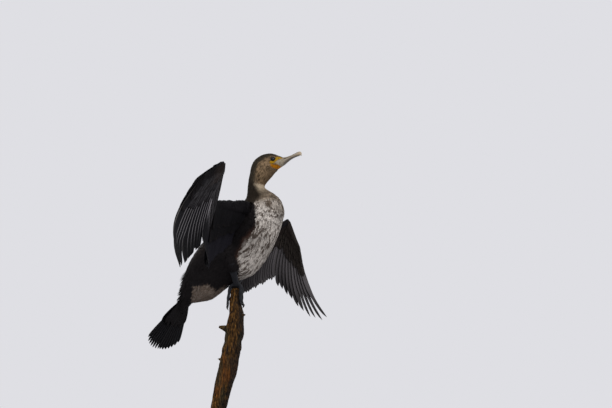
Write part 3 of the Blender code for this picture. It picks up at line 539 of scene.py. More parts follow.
def markings(points):
    """(main colour, fringe colour) of the plumage at points in metres."""
    along, share, forward, up, sideways = body_places(points)
    broad = streaks(points, 0.021, 1.6)
    streaky = grain(along, share, sideways, 14.0, 3.0)
    barred = grain(along, share, sideways, 3.0, 12.0)
    ends = np.interp(along, np.arange(len(DARK_ENDS)), DARK_ENDS)
    below = share - ends - (broad - 0.5) * 0.06 - (streaky - 0.5) * 0.05
    # trunk: black, a rusty border, then white with brown bars on the breast and streaks on the belly
    trousers = np.maximum(inside(THIGH, forward, up, 4.0) * smooth_step(8, 14, np.abs(sideways)),
                          leg_share(points, 17.0, 23.0)[0])
    under_breast = 1 - smooth_step(6.6, 7.6, along)
    vent = 1 - smooth_step(3.4, 4.2, along)
    pale = smooth_step(-0.025, 0.035, below) * (1 - trousers)
    border = hill(below, 0.0, 0.035) * smooth_step(2.5, 4.0, along) * under_breast * (1 - trousers)
    wash = hill(np.maximum(below, 0), 0.0, 0.10) * under_breast
    upper_breast = smooth_step(7.2, 8.4, along)
    mottle = streaky * (1 - upper_breast) + barred * upper_breast
    base = 0.20 + 0.52 * wash - 0.12 * upper_breast + 0.35 * (broad - 0.5)
    # The pale feathers are greyer through the middle of the belly, and painted shade darkens the front of
    # the upper breast.
    greyed_and_shaded = np.interp(along, (3.8, 5.2, 6.5, 8.0), (1.25, 1.02, 0.80, 1.20))
    greyed_and_shaded = greyed_and_shaded - upper_breast * 0.50 * smooth_step(0.60, 0.95, share)
    belly = patchy(BELLY, BELLY_DARK, base, 4.2 + 1.3 * upper_breast, mottle, 0.95) * greyed_and_shaded[:, None]
    belly = mixed(belly, VENT, vent * 0.9)
    # Along the lowest edge of the vent the feathers darken to black: dark tips, and painted shade.
    keel_tips_and_shade = smooth_step(0.93, 1.0, share) * (1 - smooth_step(2.6, 3.4, along))
    belly = mixed(belly, BLACK, keel_tips_and_shade * 0.7)
    main = mixed(mixed(BLACK, RUSTY, border * 0.7), belly, pale)
    fringe = mixed(mixed(BLACK_EDGE, RUSTY, border), belly * 0.55 + np.array(BELLY_DARK) * 0.45, pale)
    fringe = mixed(fringe, mixed(np.array(VENT) * 0.7, BLACK, keel_tips_and_shade), vent * pale)
    mantle = mantle_share(along, share)
    main = mixed(main, MANTLE, mantle)
    fringe = mixed(fringe, BLACK, mantle)
    # neck: brown scales with buff edges in front, blackish behind
    neck = smooth_step(8.3, 9.8, along)
    front = smooth_step(-0.07, 0.10, below)
    scaly = patchy(np.array(BREAST) * 1.15, BREAST_DARK, 0.66, 4.0, barred)
    main = mixed(main, mixed(NAPE_BROWN, scaly, front), neck)
    fringe = mixed(fringe, mixed(np.array(NAPE_BROWN) * 1.6, np.array(BREAST) * 1.05, front), neck)
    # head: olive-brown crown, buff-brown cheek with pale streaks, cream throat
    head = smooth_step(11.6, 13.2, along)
    lined = grain(along, share, sideways, 16.0, 2.8)
    below_cap = smooth_step(-0.06, 0.07 + 0.19 * (1 - smooth_step(13.0, 14.8, along)), below)
    dark_cheek = np.array(CHEEK) * 0.42
    cheek = patchy(np.array(CHEEK) * 1.35, dark_cheek, 0.42, 3.6, lined)
    cheek = cheek * (1 - 0.34 * hill(along, 13.4, 0.8))[:, None]
    cheek = mixed(cheek, dark_cheek, smooth_step(0.66, 0.9, share) * smooth_step(12.9, 14.2, along) * 0.6)
    capped = mixed(np.array(CROWN) * (0.75 + 0.5 * lined)[:, None], cheek, below_cap)
    main = mixed(main, capped, head)
    fringe = mixed(fringe, capped * 1.25, head)
    cream = hill(along, 11.3, 0.75) * smooth_step(0.46, 0.58, share)
    main = mixed(main, THROAT, cream * 0.85)
    fringe = mixed(fringe, THROAT, cream)
    arm = arm_share(up, sideways)
    return mixed(main, BLACK, arm), mixed(fringe, BLACK, arm)


def skin_colours(points):
    main, _ = markings(points)
    _, _, forward, up, _ = body_places(points)
    blotch = streaks(points, 0.0042)
    fine = streaks(points + 0.07, 0.0017)
    patches = ((MANDIBLE_SKIN, HORN_SKIN, HORN_STAIN), (GULAR, ORANGE, DARK_ORANGE), (LORES, YELLOW, OLIVE))
    for outline, colour, dark in patches:
        shade = patchy(colour, dark, 0.28 + 1.2 * (fine - 0.5), 2.0, blotch)
        main = mixed(main, shade, inside(outline, forward, up, 1.4))
    lid = (1 - smooth_step(EYE_RING - 1.4, EYE_RING + 0.2, from_eye(forward, up))) * (up > FACE_UP)
    return mixed(main, EYELID, lid)


def tint_mesh(mesh, colours):
    layer = mesh.color_attributes.new(name="tint", type="FLOAT_COLOR", domain="POINT")
    rgba = np.ones((len(mesh.vertices), 4), np.float32)
    rgba[:, :3] = colours
    layer.data.foreach_set("color", rgba.ravel())


def plugged(material, node, sockets):
    """Each socket of the node takes a value, or the output of another node."""
    for socket, value in sockets.items():
        if isinstance(value, bpy.types.NodeSocket):
            material.node_tree.links.new(value, node.inputs[socket])
        else:
            node.inputs[socket].default_value = value
    return node


def new_node(material, kind, sockets, output=0, **settings):
    """A new node of the material, and of it the output that is named."""
    node = material.node_tree.nodes.new("ShaderNode" + kind)
    for name, value in settings.items():
        setattr(node, name, value)
    return plugged(material, node, sockets).outputs[output]


def surface_of(material, sockets):
    plugged(material, material.node_tree.nodes["Principled BSDF"], sockets)


def new_material(name, sockets):
    material = bpy.data.materials.new(name)
    material.use_nodes = True
    surface_of(material, sockets)
    return material


def tinted_material(name, sockets):
    """A material that takes its colour from the mesh's own tint, and that tint."""
    material = new_material(name, sockets)
    tint = new_node(material, "Attribute", {}, "Color", attribute_name="tint")
    surface_of(material, {"Base Color": tint})
    return material, tint


def on_object(material, scale=(1.0, 1.0, 1.0)):
    """The place on the object, drawn out by scale."""
    place = new_node(material, "TexCoord", {}, "Object")
    return new_node(material, "Mapping", {"Vector": place, "Scale": scale}, "Vector")


def raised(material, height, strength, distance):
    """Fine relief on the material's surface, up to distance deep in metres."""
    sockets = {"Strength": strength, "Distance": distance, "Height": height}
    surface_of(material, {"Normal": new_node(material, "Bump", sockets, "Normal")})


def shaded(material, tint, weight):
    """The tint, made lighter or darker by weight, becomes the material's colour."""
    sockets = {"Factor": 1.0, "A": tint, "B": weight}
    shade = new_node(material, "Mix", sockets, "Result", data_type="RGBA", blend_type="MULTIPLY")
    surface_of(material, {"Base Color": shade})


def finished(piece, material, slot, *nodes):
    """The piece takes its finish, rides on the one body and stands for nodes of the frame."""
    piece.data.materials.clear()
    piece.data.materials.append(material)
    piece.data.shade_smooth()
    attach(piece, "root")
    if nodes:
        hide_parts(*nodes)


select_only(skin)
bpy.ops.object.mode_set(mode="EDIT")
bpy.ops.mesh.select_all(action="SELECT")
bpy.ops.uv.smart_project(angle_limit=1.1, island_margin=0.002)
bpy.ops.object.mode_set(mode="OBJECT")
skin.data.uv_layers.active.name = "OFBake"
tint_mesh(skin.data, skin_colours(mesh_points(skin.data)))
hide, _ = tinted_material("hide", {"Roughness": 0.55, "Specular IOR Level": 0.1})
wrinkle = new_node(hide, "TexNoise", {"Vector": on_object(hide), "Scale": 900.0, "Detail": 3.0}, "Fac")
raised(hide, wrinkle, 0.5, 0.0004)
finished(skin, hide, "pale_underparts", *flesh_nodes)

# The quills of a wing: stiff vanes on bowed shafts, set in the back edge of hand, forearm and arm,
# each lying over its inner neighbour, with rows of shorter feathers over their roots on both faces.
PRIMARY_LENGTHS = (182, 187, 193, 201, 212, 225, 238, 246, 248, 240)
PRIMARY_ROOTS = (0.10, 0.19, 0.29, 0.39, 0.49, 0.60, 0.71, 0.81, 0.90, 0.97)
SECONDARIES = 17
SECONDARY_LENGTHS = (166, 150)
TERTIALS = 8
TERTIAL_LENGTHS = (150, 104)
TERTIAL_REACH = 0.96
INNER_BOW = 0.4
TERTIAL_BOW = 6.0
FOREARM_TWIST, HAND_TWIST = math.radians(7.0), math.radians(10.5)
FLIGHT_WIDTH = 25.0
LEADING_SHARE = 0.36
VANE_OUTLINE = ((0, 0.22), (0.08, 0.5), (0.25, 0.78), (0.5, 0.97), (0.72, 1.0), (0.88, 0.84), (0.95, 0.6),
                (0.985, 0.32), (1.0, 0.06))
FINGER_OUTLINE = ((0, 0.22), (0.08, 0.5), (0.25, 0.78), (0.45, 0.95), (0.58, 0.9), (0.70, 0.62), (0.9, 0.5),
                  (0.97, 0.32), (1.0, 0.05))
COVERT_OUTLINE = ((0, 0.35), (0.3, 0.8), (0.65, 1.0), (0.85, 0.86), (0.95, 0.55), (1.0, 0.1))
# The grey of the quills' lower faces, painted lit on the left wing and in painted shade on the right one.
UNDER_GREY_WITH_PAINTED_LIGHT = {"right": (0.0034, 0.0032, 0.0042), "left": (0.084, 0.0765, 0.0785)}
# How much lighter the lower faces are painted along the row, on each wing: painted light and shade.
UNDER_PAINTED_LIGHT_RAMP = {"right": (3.6, 1.6, 1.0), "left": (0.25, 0.5, 1.0)}
# A painted glint along the trailing edge of each lower face, strong on the right wing.
PAINTED_EDGE_GLINT = {"right": (0.275, 0.257, 0.265), "left": (0.056, 0.049, 0.047)}
TIP_DARK = 0.7  # how much darker the hand's quills are at their tips
SHAFT_PALE = (0.150, 0.138, 0.130)
ALULA = ((36, 0.0, 0.10), (29, 3.5, 0.22), (22, 7.0, 0.02))  # length, how far down the edge, and off it
ALULA_WIDTH = 6.5
SHAFT_DARK = (0.012, 0.010, 0.009)
draw = np.random.default_rng(11)


def unit(v):
    return v / np.linalg.norm(v)


def swung(a, b, t):
    """The direction t of the way from a to b."""
    a, b = unit(np.array(a, float)), unit(np.array(b, float))
    angle = math.acos(float(np.clip(a @ b, -1, 1)))
    return (math.sin((1 - t) * angle) * a + math.sin(t * angle) * b) / math.sin(angle)


class Shaft:
    """A feather's shaft, in millimetres from the perch. bow bends it towards the wing's back, and
    inner and outer are shafts a few places to each side, from which its vane takes its slope."""

    def __init__(self, root, way, length, lead=None):
        self.root, self.way, self.length, self.lead = root, way, length, lead
        self.bow = np.zeros(3)
        self.inner = self.outer = None

    def point(self, t):
        return self.root + self.way * self.length * t + self.bow * 4 * t * (1 - t) * (0.6 + 0.8 * t)

    def frame(self, t, side):
        """The point t along, the way to the leading edge, and the way out of the wing's back."""
        along = unit(self.point(t + 0.01) - self.point(t - 0.01))
        lead = self.outer.point(t) - self.inner.point(t) if self.inner is not None else self.lead
        out = unit(lead - along * (lead @ along))
        return self.point(t), out, side * np.cross(out, along)


def in_row(row, bows, side, span):
    """Sets beside each shaft those span places in and out, and bows it out of their surface."""
    last = len(row) - 1
    pairs = [(row[max(i - span, 0)], row[min(i + span, last)]) for i in range(len(row))]
    bent = []
    for shaft, bow, (inner, outer) in zip(row, bows, pairs):
        bent.append(unit(side * np.cross(outer.point(0.5) - inner.point(0.5), shaft.way)) * bow)
    for shaft, bow, (shaft.inner, shaft.outer) in zip(row, bent, pairs):
        shaft.bow = bow
    return row


def wing_shafts(wing):
    """The shafts of secondaries and primaries, from the elbow out, and those of the tertials."""
    side = wing["side"]
    shoulder, elbow, wrist, hand_end = (np.array(p, float) for p in wing["joints"])
    row, bows = [], []
    for k in reversed(range(SECONDARIES)):
        t = (k + 0.5) / SECONDARIES
        length = np.interp(t, (0, 1), SECONDARY_LENGTHS)
        row.append(Shaft(wrist + (elbow - wrist) * t, swung(*wing["secondaries"], t), length))
        bows.append(wing["bow"] * INNER_BOW)
    for k, share in enumerate(PRIMARY_ROOTS):
        t = k / (len(PRIMARY_ROOTS) - 1)
        way = swung(*wing["primaries"], t)
        row.append(Shaft(wrist + (hand_end - wrist) * share, way, PRIMARY_LENGTHS[k]))
        bows.append(wing["bow"] * (INNER_BOW + (1 - INNER_BOW) * t))
    inner_row = []
    for k in reversed(range(TERTIALS)):
        t = (k + 0.6) / TERTIALS
        root = elbow + (shoulder - elbow) * t * TERTIAL_REACH
        inner_row.append(Shaft(root, swung(*wing["tertials"], t), np.interp(t, (0, 1), TERTIAL_LENGTHS)))
    return in_row(row, bows, side, 3), in_row(inner_row, [TERTIAL_BOW] * TERTIALS, side, 2)


class Plumage:
    """Feathers gathered into one mesh: points in metres, faces, a tint, a place across and along each
    vane, and a place on the bake's map."""

    def __init__(self):
        self.points, self.faces, self.tints, self.vanes, self.bakes, self.normals = [], [], [], [], [], []
        self.size = 0

    def add(self, points, faces, tints, vanes, bakes, normals=None):
        if normals is not None:
            self.normals.append(normals)
        self.points.append(points)
        self.faces.append(np.asarray(faces) + self.size)
        self.tints.append(tints)
        self.vanes.append(vanes)
        self.bakes.append(bakes)
        self.size += len(points)

    def piece(self, name, material, slot, *nodes):
        points = np.concatenate(self.points)
        faces = np.concatenate(self.faces)
        mesh = bpy.data.meshes.new(name)
        mesh.vertices.add(len(points))
        set_points(mesh, points)
        mesh.loops.add(faces.size)
        mesh.loops.foreach_set("vertex_index", faces.astype(np.int32).ravel())
        mesh.polygons.add(len(faces))
        mesh.polygons.foreach_set("loop_start", np.arange(0, faces.size, 4, dtype=np.int32))
        mesh.update(calc_edges=True)
        for name_of, places in (("OFBake", self.bakes), ("vane", self.vanes)):
            layer = mesh.uv_layers.new(name=name_of)
            layer.data.foreach_set("uv", np.concatenate(places)[faces.ravel()].astype(np.float32).ravel())
        tint_mesh(mesh, np.concatenate(self.tints))
        obj = bpy.data.objects.new(name, mesh)
        scene.collection.objects.link(obj)
        finished(obj, material, slot, *nodes)
        if self.normals:
            mesh.normals_split_custom_set_from_vertices(np.concatenate(self.normals).tolist())


def grid_faces(rows, ring):
    """Quads round a tube of rings, closed at both ends by folding the end rings flat."""
    faces = []
    for i in range(rows - 1):
        low, high = i * ring, (i + 1) * ring
        faces += [(low + k, low + (k + 1) % ring, high + (k + 1) % ring, high + k) for k in range(ring)]
    half = ring // 2
    for base in (0, (rows - 1) * ring):
        strip = [(base + k, base + k + 1, base + ring - 2 - k, base + ring - 1 - k) for k in range(half - 1)]
        faces += [face[::-1] for face in strip] if base == 0 else strip
    return faces


SPLIT_GAP = 0.8  # of a split between the barbs, along the shaft
BARB_SLANT = 0.55  # how far towards the tip the barbs run for each step out
VANE_HALF, EDGE_HALF = 0.22, 0.13  # half the thickness of a vane at its shaft and at its edge


def vane_points(shaft, side, width, outline, twist, lead_share, stations, columns, shaft_radius, lift,
                reach, set_back, camber, splits):
    """The rings of one feather: its upper face from trailing to leading edge and its lower face back."""
    marks = list(stations)
    notches = {}
    for _ in range(splits):
        at = draw.uniform(0.35, 0.97)
        edge = -1 if draw.random() < 0.7 else 1
        slit = SPLIT_GAP / (shaft.length * reach)
        if all(abs(at - other) > 4 * slit for other in marks):
            marks += [at - slit, at, at + slit]
            notches[at] = (edge, draw.uniform(0.06, 0.22))
    marks.sort()
    rings, places = [], []
    for s in marks:
        t = s * reach - set_back / shaft.length * (1 - s)
        point, out, over = shaft.frame(t, side)
        point = point + over * lift * min(1.0, 0.45 + s)
        out, over = (out * math.cos(twist) + over * math.sin(twist),
                     over * math.cos(twist) - out * math.sin(twist))
        along = np.cross(over, out) * side
        full = np.interp(s, *zip(*outline)) * width
        edge, cut = notches.get(s, (0, 0.0))
        upper, lower = [], []
        radius = shaft_radius * (1 - 0.8 * s)
        for column in columns:
            reach_out = full * (lead_share if column > 0 else 1 - lead_share)
            ruffle = 1.0
            if edge and np.sign(column) == edge and abs(column) > 0.7:
                ruffle = 1 - cut * (0.6 if abs(column) < 1 else 1.0)
            offset = column * reach_out * ruffle
            ridge = radius if column == 0 else 0.0
            half = max(EDGE_HALF, VANE_HALF * (1 - abs(column)))
            slant = abs(offset) * BARB_SLANT * min(1.0, (1.0 - s) * 6)
            at = point + out * offset + along * slant - over * (abs(column) ** 2) * camber * full
            upper.append(at + over * (half + ridge * 0.6))
            lower.append(at - over * (half + ridge))
        rings.append(upper + lower[::-1])
        places.append([(0.5 + 0.5 * column, s) for column in (*columns, *columns[::-1])])
    return np.array(rings), np.array(places), len(marks)


QUILL_STATIONS = tuple((k / 17) ** 0.9 for k in range(18))
QUILL_COLUMNS = (-1.0, -0.88, -0.5, -0.1, 0.0, 0.25, 0.7, 1.0)
COVERT_STATIONS = (0.0, 0.25, 0.5, 0.7, 0.83, 0.92, 1.0)
COVERT_COLUMNS = (-1.0, -0.84, -0.4, 0.0, 0.5, 1.0)


def add_feather(plumage, cell, shaft, side, width, outline, twist, upper, lower, shaft_tint, quill=True,
                lead_share=LEADING_SHARE, lift=0.0, reach=1.0, set_back=0.0, splits=4, camber=0.07,
                fringe=None, shaft_radius=0.9, edge=None, edge_end=2.0, dark_tip=0.0):
    """One feather with its own strip of the bake's map: cell is (which strip, of how many)."""
    stations, columns = (QUILL_STATIONS, QUILL_COLUMNS) if quill else (COVERT_STATIONS, COVERT_COLUMNS)
    rings, places, rows = vane_points(shaft, side, width, outline, twist, lead_share, stations, columns,
                                      shaft_radius, lift, reach, set_back, camber, splits)
    count = len(columns)
    faces = grid_faces(rows, 2 * count)
    shade = draw.uniform(0.82, 1.2)
    tints = np.empty((rows, 2 * count, 3))
    tints[:, :count] = np.array(upper) * shade
    tints[:, count:] = np.array(lower) * shade
    middle = list(columns).index(0.0)
    tints[:, 2 * count - 1 - middle] = np.array(shaft_tint)
    tints[:, middle] = np.array(SHAFT_DARK)
    if fringe is not None:
        for k in (0, count - 1, count, 2 * count - 1):
            tints[:, k] = tints[:, k] * 0.35 + np.array(fringe) * 0.65
        tints[-2:] = tints[-2:] * 0.5 + np.array(fringe) * 0.5
    # the trailing edge of the lower face takes edge, with its painted glint, fading out towards edge_end
    if edge is not None:
        faded = smooth_step(edge_end - 0.25, edge_end + 0.05, places[:, 0, 1])[:, None]
        tints[:, 2 * count - 1] = np.array(edge) * (1 - faded) + np.array(lower) * faded
    tints *= (1 - dark_tip * smooth_step(0.5, 0.92, places[:, 0, 1]))[:, None, None]
    strip, strips = cell
    bakes = np.array(places)
    bakes[..., 0] = (strip + 0.05 + 0.42 * bakes[..., 0]) / strips
    bakes[:, count:, 0] += 0.5 / strips
    points = rings.reshape(-1, 3) * MM + np.array(PERCH_TOP)
    if side < 0:
        faces = [face[::-1] for face in faces]
    plumage.add(points, faces, tints.reshape(-1, 3), np.array(places).reshape(-1, 2), bakes.reshape(-1, 2))


def feather_material(name, roughness, specular, strands=False):
    """Tinted, with the fine ribs of the barbs along each vane, or with the loose strands of a body
    feather, and a faint unevenness of shade."""
    material, tint = tinted_material(name, {"Roughness": roughness, "Specular IOR Level": specular})
    vane = new_node(material, "UVMap", {}, "UV", uv_map="vane")
    if strands:
        sockets = {0: vane, 1: (6.5, 0.9, 0.0)}
        spread = new_node(material, "VectorMath", sockets, "Vector", operation="MULTIPLY")
        sockets = {0: on_object(material), 1: (60.0, 60.0, 60.0), 2: spread}
        moved = new_node(material, "VectorMath", sockets, "Vector", operation="MULTIPLY_ADD")
        ribs = new_node(material, "TexNoise", {"Vector": moved, "Scale": 1.0, "Detail": 3.0}, "Fac")
        weight = {"From Min": 0.3, "From Max": 0.7, "To Min": 0.55, "To Max": 1.35}
    else:
        sockets = {"Vector": vane, "Scale": 34.0, "Distortion": 2.5, "Detail": 2.0, "Detail Scale": 3.0}
        ribs = new_node(material, "TexWave", sockets, "Fac", bands_direction="Y")
        weight = {"To Min": 0.78, "To Max": 1.18}
    raised(material, ribs, 0.35, 0.0003)
    shaded(material, tint, new_node(material, "MapRange", {"Value": ribs, **weight}, "Result"))
    return material


quill_finish = feather_material("flight feathers", 0.5, 0.03)
covert_finish = feather_material("wing coverts", 0.6, 0.02)
COVERT_ROWS = (
    # over (+) or under (-) the quills by, share of their length, set back, width, feathers to each gap
    (2.2, 0.44, 0.0, 21.0, 1),
    (3.6, 0.27, 5.0, 17.0, 1),
    (4.6, 0.17, 8.0, 12.0, 2),
    (5.4, 0.11, 10.0, 9.0, 2),
    (-2.4, 0.42, 0.0, 14.5, 2),
    (-3.7, 0.29, 4.0, 12.5, 2),
    (-4.6, 0.19, 7.0, 9.5, 2),
    (-5.4, 0.12, 9.0, 8.0, 2),
)
# The lower faces of the coverts: dark brown, painted lighter on the left wing and in painted shade on the
# right one.
UNDER_BROWN_WITH_PAINTED_LIGHT = {"right": (0.0074, 0.0070, 0.0078), "left": (0.030, 0.0245, 0.0210)}
ARM_ROWS = ((-6.5, 0.56, 5.0, 20.0, 2), (-9.0, 0.36, 8.0, 16.0, 2), (6.5, 0.34, 8.0, 16.0, 2))
ELBOW_QUILLS = 2  # that stand between the innermost secondary and the outermost tertial
FINGERS_FROM = 6  # the first primary that narrows to a finger
WRIST_BROWN = (0.020, 0.0150, 0.0130)


def between_shafts(a, b, t):
    """A shaft part of the way from one to the next."""
    length = a.length + (b.length - a.length) * t
    made = Shaft(a.root + (b.root - a.root) * t, unit(a.way + (b.way - a.way) * t), length)
    made.bow = a.bow + (b.bow - a.bow) * t
    made.inner, made.outer = a.inner, b.outer
    return made


def add_quills(which, side, inner, flight):
    """The flight feathers of a wing, from the body out."""
    quills = Plumage()
    for i, shaft in enumerate(inner + flight):
        hand = i - len(inner) - SECONDARIES
        grow = np.interp(hand, (-4, 2), (0, 1))
        # painted highlight on trailing edges and pale shafts: weak on the tertials, strongest on the outer
        # secondaries
        painted_highlight = np.interp(hand, (-18, -15, -9, -5), (0.04, 0.12, 0.6, 1.0))
        edge = mixed(UNDER_GREY_WITH_PAINTED_LIGHT[which], PAINTED_EDGE_GLINT[which], [painted_highlight])[0]
        edge = edge * np.interp(hand, (-10, -8, -1, 1), (1, 1.7, 1.7, 1))
        # the lower face, with its painted light and shade along the row
        under = np.array(UNDER_GREY_WITH_PAINTED_LIGHT[which]) * np.interp(hand, (-17, -8, -1), UNDER_PAINTED_LIGHT_RAMP[which])
        add_feather(quills, (i, len(inner + flight)), shaft, side, FLIGHT_WIDTH - 3 * (hand < 0),
                    FINGER_OUTLINE if hand >= FINGERS_FROM else VANE_OUTLINE,
                    FOREARM_TWIST + (HAND_TWIST - FOREARM_TWIST) * grow, BLACK, under,
                    mixed(UNDER_GREY_WITH_PAINTED_LIGHT[which], SHAFT_PALE, [max(painted_highlight, 0.25)])[0],
                    lead_share=LEADING_SHARE - 0.1 * grow, reach=draw.uniform(0.965, 1.015), edge=edge,
                    edge_end=0.56 + 0.30 * grow, dark_tip=TIP_DARK * grow)
    quills.piece("flight_feathers_" + which, quill_finish, "black_plumage",
                 *[part + which for part in ("wing_hand_", "wing_forearm_", "wing_arm_")])


def add_coverts(which, wing, part, shafts):
    """The rows of shorter feathers over and under the roots of one part's quills, and on the hand the
    small stiff feathers that lie along its front edge."""
    side = wing["side"]
    wrist, hand_end = (np.array(joint, float) for joint in wing["joints"][2:])
    twist = HAND_TWIST if part == "hand" else FOREARM_TWIST
    jobs = [(between_shafts(a, b, (k + 0.5) / row[-1]), *row[:-1])
            for row in COVERT_ROWS + (ARM_ROWS if part == "arm" else ())
            for a, b in zip(shafts, shafts[1:]) for k in range(row[-1])]
    strips = len(jobs) + len(ALULA)
    coverts = Plumage()
    for i, (shaft, lift, reach, set_back, width) in enumerate(jobs):
        jitter = draw.uniform(0.9, 1.12)
        by_wrist = hill(np.linalg.norm(shaft.root - wrist), 20, 22) * (reach < 0.2)
        under = mixed(UNDER_BROWN_WITH_PAINTED_LIGHT[which], WRIST_BROWN, [by_wrist])[0]
        # some under coverts of the right wing's forearm and hand get a painted glint along their edges
        pale = 0.0 if part == "arm" or lift > 0 else draw.uniform(0.1, 0.6) * (which == "right")
        edge = mixed(under, PAINTED_EDGE_GLINT[which], [pale * (part == "hand" or reach > 0.15)])[0]
        add_feather(coverts, (i, strips), shaft, side, width * jitter, COVERT_OUTLINE, twist, BLACK, under,
                    under, quill=False, lift=lift * twist / FOREARM_TWIST, reach=reach * jitter,
                    set_back=set_back, splits=1, fringe=BLACK_EDGE, edge=edge, edge_end=0.95,
                    shaft_radius=0.3)
    if part == "hand":
        outward = unit(hand_end - wrist)
        front = -np.array(wing["primaries"][0], float)
        front = unit(front - outward * (front @ outward))
        for i, (length, down, off) in enumerate(ALULA):
            root = wrist + outward * 4 + front * (5 - down)
            shaft = Shaft(root, unit(outward + front * off), length, front)
            add_feather(coverts, (len(jobs) + i, strips), shaft, side, ALULA_WIDTH, VANE_OUTLINE,
                        -FOREARM_TWIST, BLACK, BLACK, BLACK, lift=1.0 + down * 0.3, splits=3,
                        shaft_radius=0.25)
    coverts.piece("coverts_" + part + "_" + which, covert_finish, "black_plumage")


for which, wing in WINGS.items():
    flight, tertials = wing_shafts(wing)
    steps = [(k + 1) / (ELBOW_QUILLS + 1) for k in range(ELBOW_QUILLS)]
    inner = tertials + [between_shafts(tertials[-1], flight[0], step) for step in steps]
    add_quills(which, wing["side"], inner, flight)
    add_coverts(which, wing, "hand", flight[SECONDARIES - 1:])
    add_coverts(which, wing, "forearm", flight[:SECONDARIES])
    add_coverts(which, wing, "arm", inner + flight[:1])

# The coat: small body feathers set over the skin in blue-noise order, each bent along the body, with
# its root under the skin and its tip at the outline of the plumage. They are least on the face.
COAT_TABLE = (
    # row of BODY_LINE, spacing, length, width
    (0, 2.8, 21.0, 5.4), (3, 2.1, 12.5, 3.0), (8, 1.9, 9.0, 2.6), (10, 1.75, 8.5, 2.4), (13, 1.45, 7.0, 2.0),
    (16, 1.3, 5.6, 1.7), (18, 1.2, 4.2, 1.5), (19, 1.15, 3.4, 1.3),
)
ARM_FEATHER = (2.8, 16.0, 5.5)
MANTLE_FEATHER = (3.5, 19.0, 8.5)
TUFT_STATIONS = (0.0, 0.3, 0.6, 0.84, 1.0)
TUFT_WIDTHS = (0.5, 0.95, 1.0, 0.66, 0.05)
TUFT_HALF, TUFT_SAG = 0.11, 0.045
TUFT_ROUNDNESS = 0.35
TUFT_YAW, TUFT_LIFT = 0.14, 0.45  # how far the feathers mostly stray sideways, and stand up
BAKE_PATCH = 0.003
CANDIDATES, CROWDING = 5.0, 0.9  # roots tried for each feather, and how near two may stand
ROOT_SINK = 0.5  # how far the roots lie under the skin
ARM_COAT_DEPTH = 1.6
draw = np.random.default_rng(23)

skin.data.calc_loop_triangles()
triangles = gathered(skin.data.loop_triangles, "vertices", 3, np.int32)
loops = gathered(skin.data.loop_triangles, "loops", 3, np.int32)
bake_places = gathered(skin.data.uv_layers["OFBake"].data, "uv", 2)
corners = mesh_points(skin.data)[triangles]
areas = np.linalg.norm(np.cross(corners[:, 1] - corners[:, 0], corners[:, 2] - corners[:, 0]), axis=1) / 2
middles = corners.mean(1)


def coat_sizes(points):
    """(spacing, length, width) of the feathers at points, in millimetres."""
    along, share, _, up, sideways = body_places(points)
    rows, *columns = zip(*COAT_TABLE)
    sizes = np.stack([np.interp(along, rows, column) for column in columns], 1)
    sizes = mixed(sizes, MANTLE_FEATHER, mantle_share(along, share))
    return mixed(sizes, ARM_FEATHER, arm_share(up, sideways))


spacing = coat_sizes(middles)[:, 0] * MM
wanted = areas / spacing**2 * CANDIDATES * (bareness(middles) < 0.5)
counts = draw.poisson(wanted)
picked = np.repeat(np.arange(len(areas)), counts)
weights = draw.random((len(picked), 2))
over_half = weights.sum(1) > 1
weights[over_half] = 1 - weights[over_half]
weights = np.stack([1 - weights.sum(1), weights[:, 0], weights[:, 1]], 1)
roots = (corners[picked] * weights[:, :, None]).sum(1)
root_bakes = (bake_places[loops[picked]] * weights[:, :, None]).sum(1)
order = draw.permutation(len(roots))
roots, root_bakes, picked = roots[order], root_bakes[order], picked[order]
tree = KDTree(len(roots))
for i, root in enumerate(roots):
    tree.insert(root, i)
tree.balance()
free = np.ones(len(roots), bool)
kept = []
for i in range(len(roots)):
    if free[i]:
        kept.append(i)
        for _, other, _ in tree.find_range(roots[i], spacing[picked[i]] * CROWDING):
            free[other] = False
roots, root_bakes = roots[kept], root_bakes[kept]
surface = BVHTree.FromPolygons([tuple(p) for p in mesh_points(skin.data)], triangles.tolist())
face_normals = [Vector(normal).normalized() for normal in mesh_normals(skin.data)[triangles].mean(1)]

row_middles = np.array([((b[0] + v[0]) / 2, (b[1] + v[1]) / 2) for b, v in BODY_LINE])
row_runs = np.gradient(row_middles, axis=0)


def coat_flows(points):
    """The way that the feathers lie at points: from the bill to the tail, and off each arm."""
    along, _, _, up, sideways = body_places(points)
    rows = np.arange(len(row_runs))
    forward_run = np.interp(along, rows, row_runs[:, 0])
    up_run = np.interp(along, rows, row_runs[:, 1])
    flows = np.stack([np.zeros(len(points)), forward_run, -up_run], 1)
    flows /= np.linalg.norm(flows, axis=1)[:, None]
    for wing in WINGS.values():
        on_arm = arm_share(up, np.maximum(sideways * wing["side"], 0.0))
        flight, tertials = wing_shafts(wing)
        shafts = tertials + flight
        shaft_roots = np.array([s.root for s in shafts]) * MM + np.array(PERCH_TOP)
        ways = np.array([s.way for s in shafts])
        for i in np.nonzero(on_arm > 0)[0]:
            near = np.argmin(np.linalg.norm(shaft_roots - points[i], axis=1))
            flows[i] = unit(flows[i] * (1 - on_arm[i]) + ways[near] * on_arm[i])
    on_leg, down = leg_share(points, 13.0, 21.0)
    flows = mixed(flows, down, on_leg)
    return flows / np.linalg.norm(flows, axis=1)[:, None]


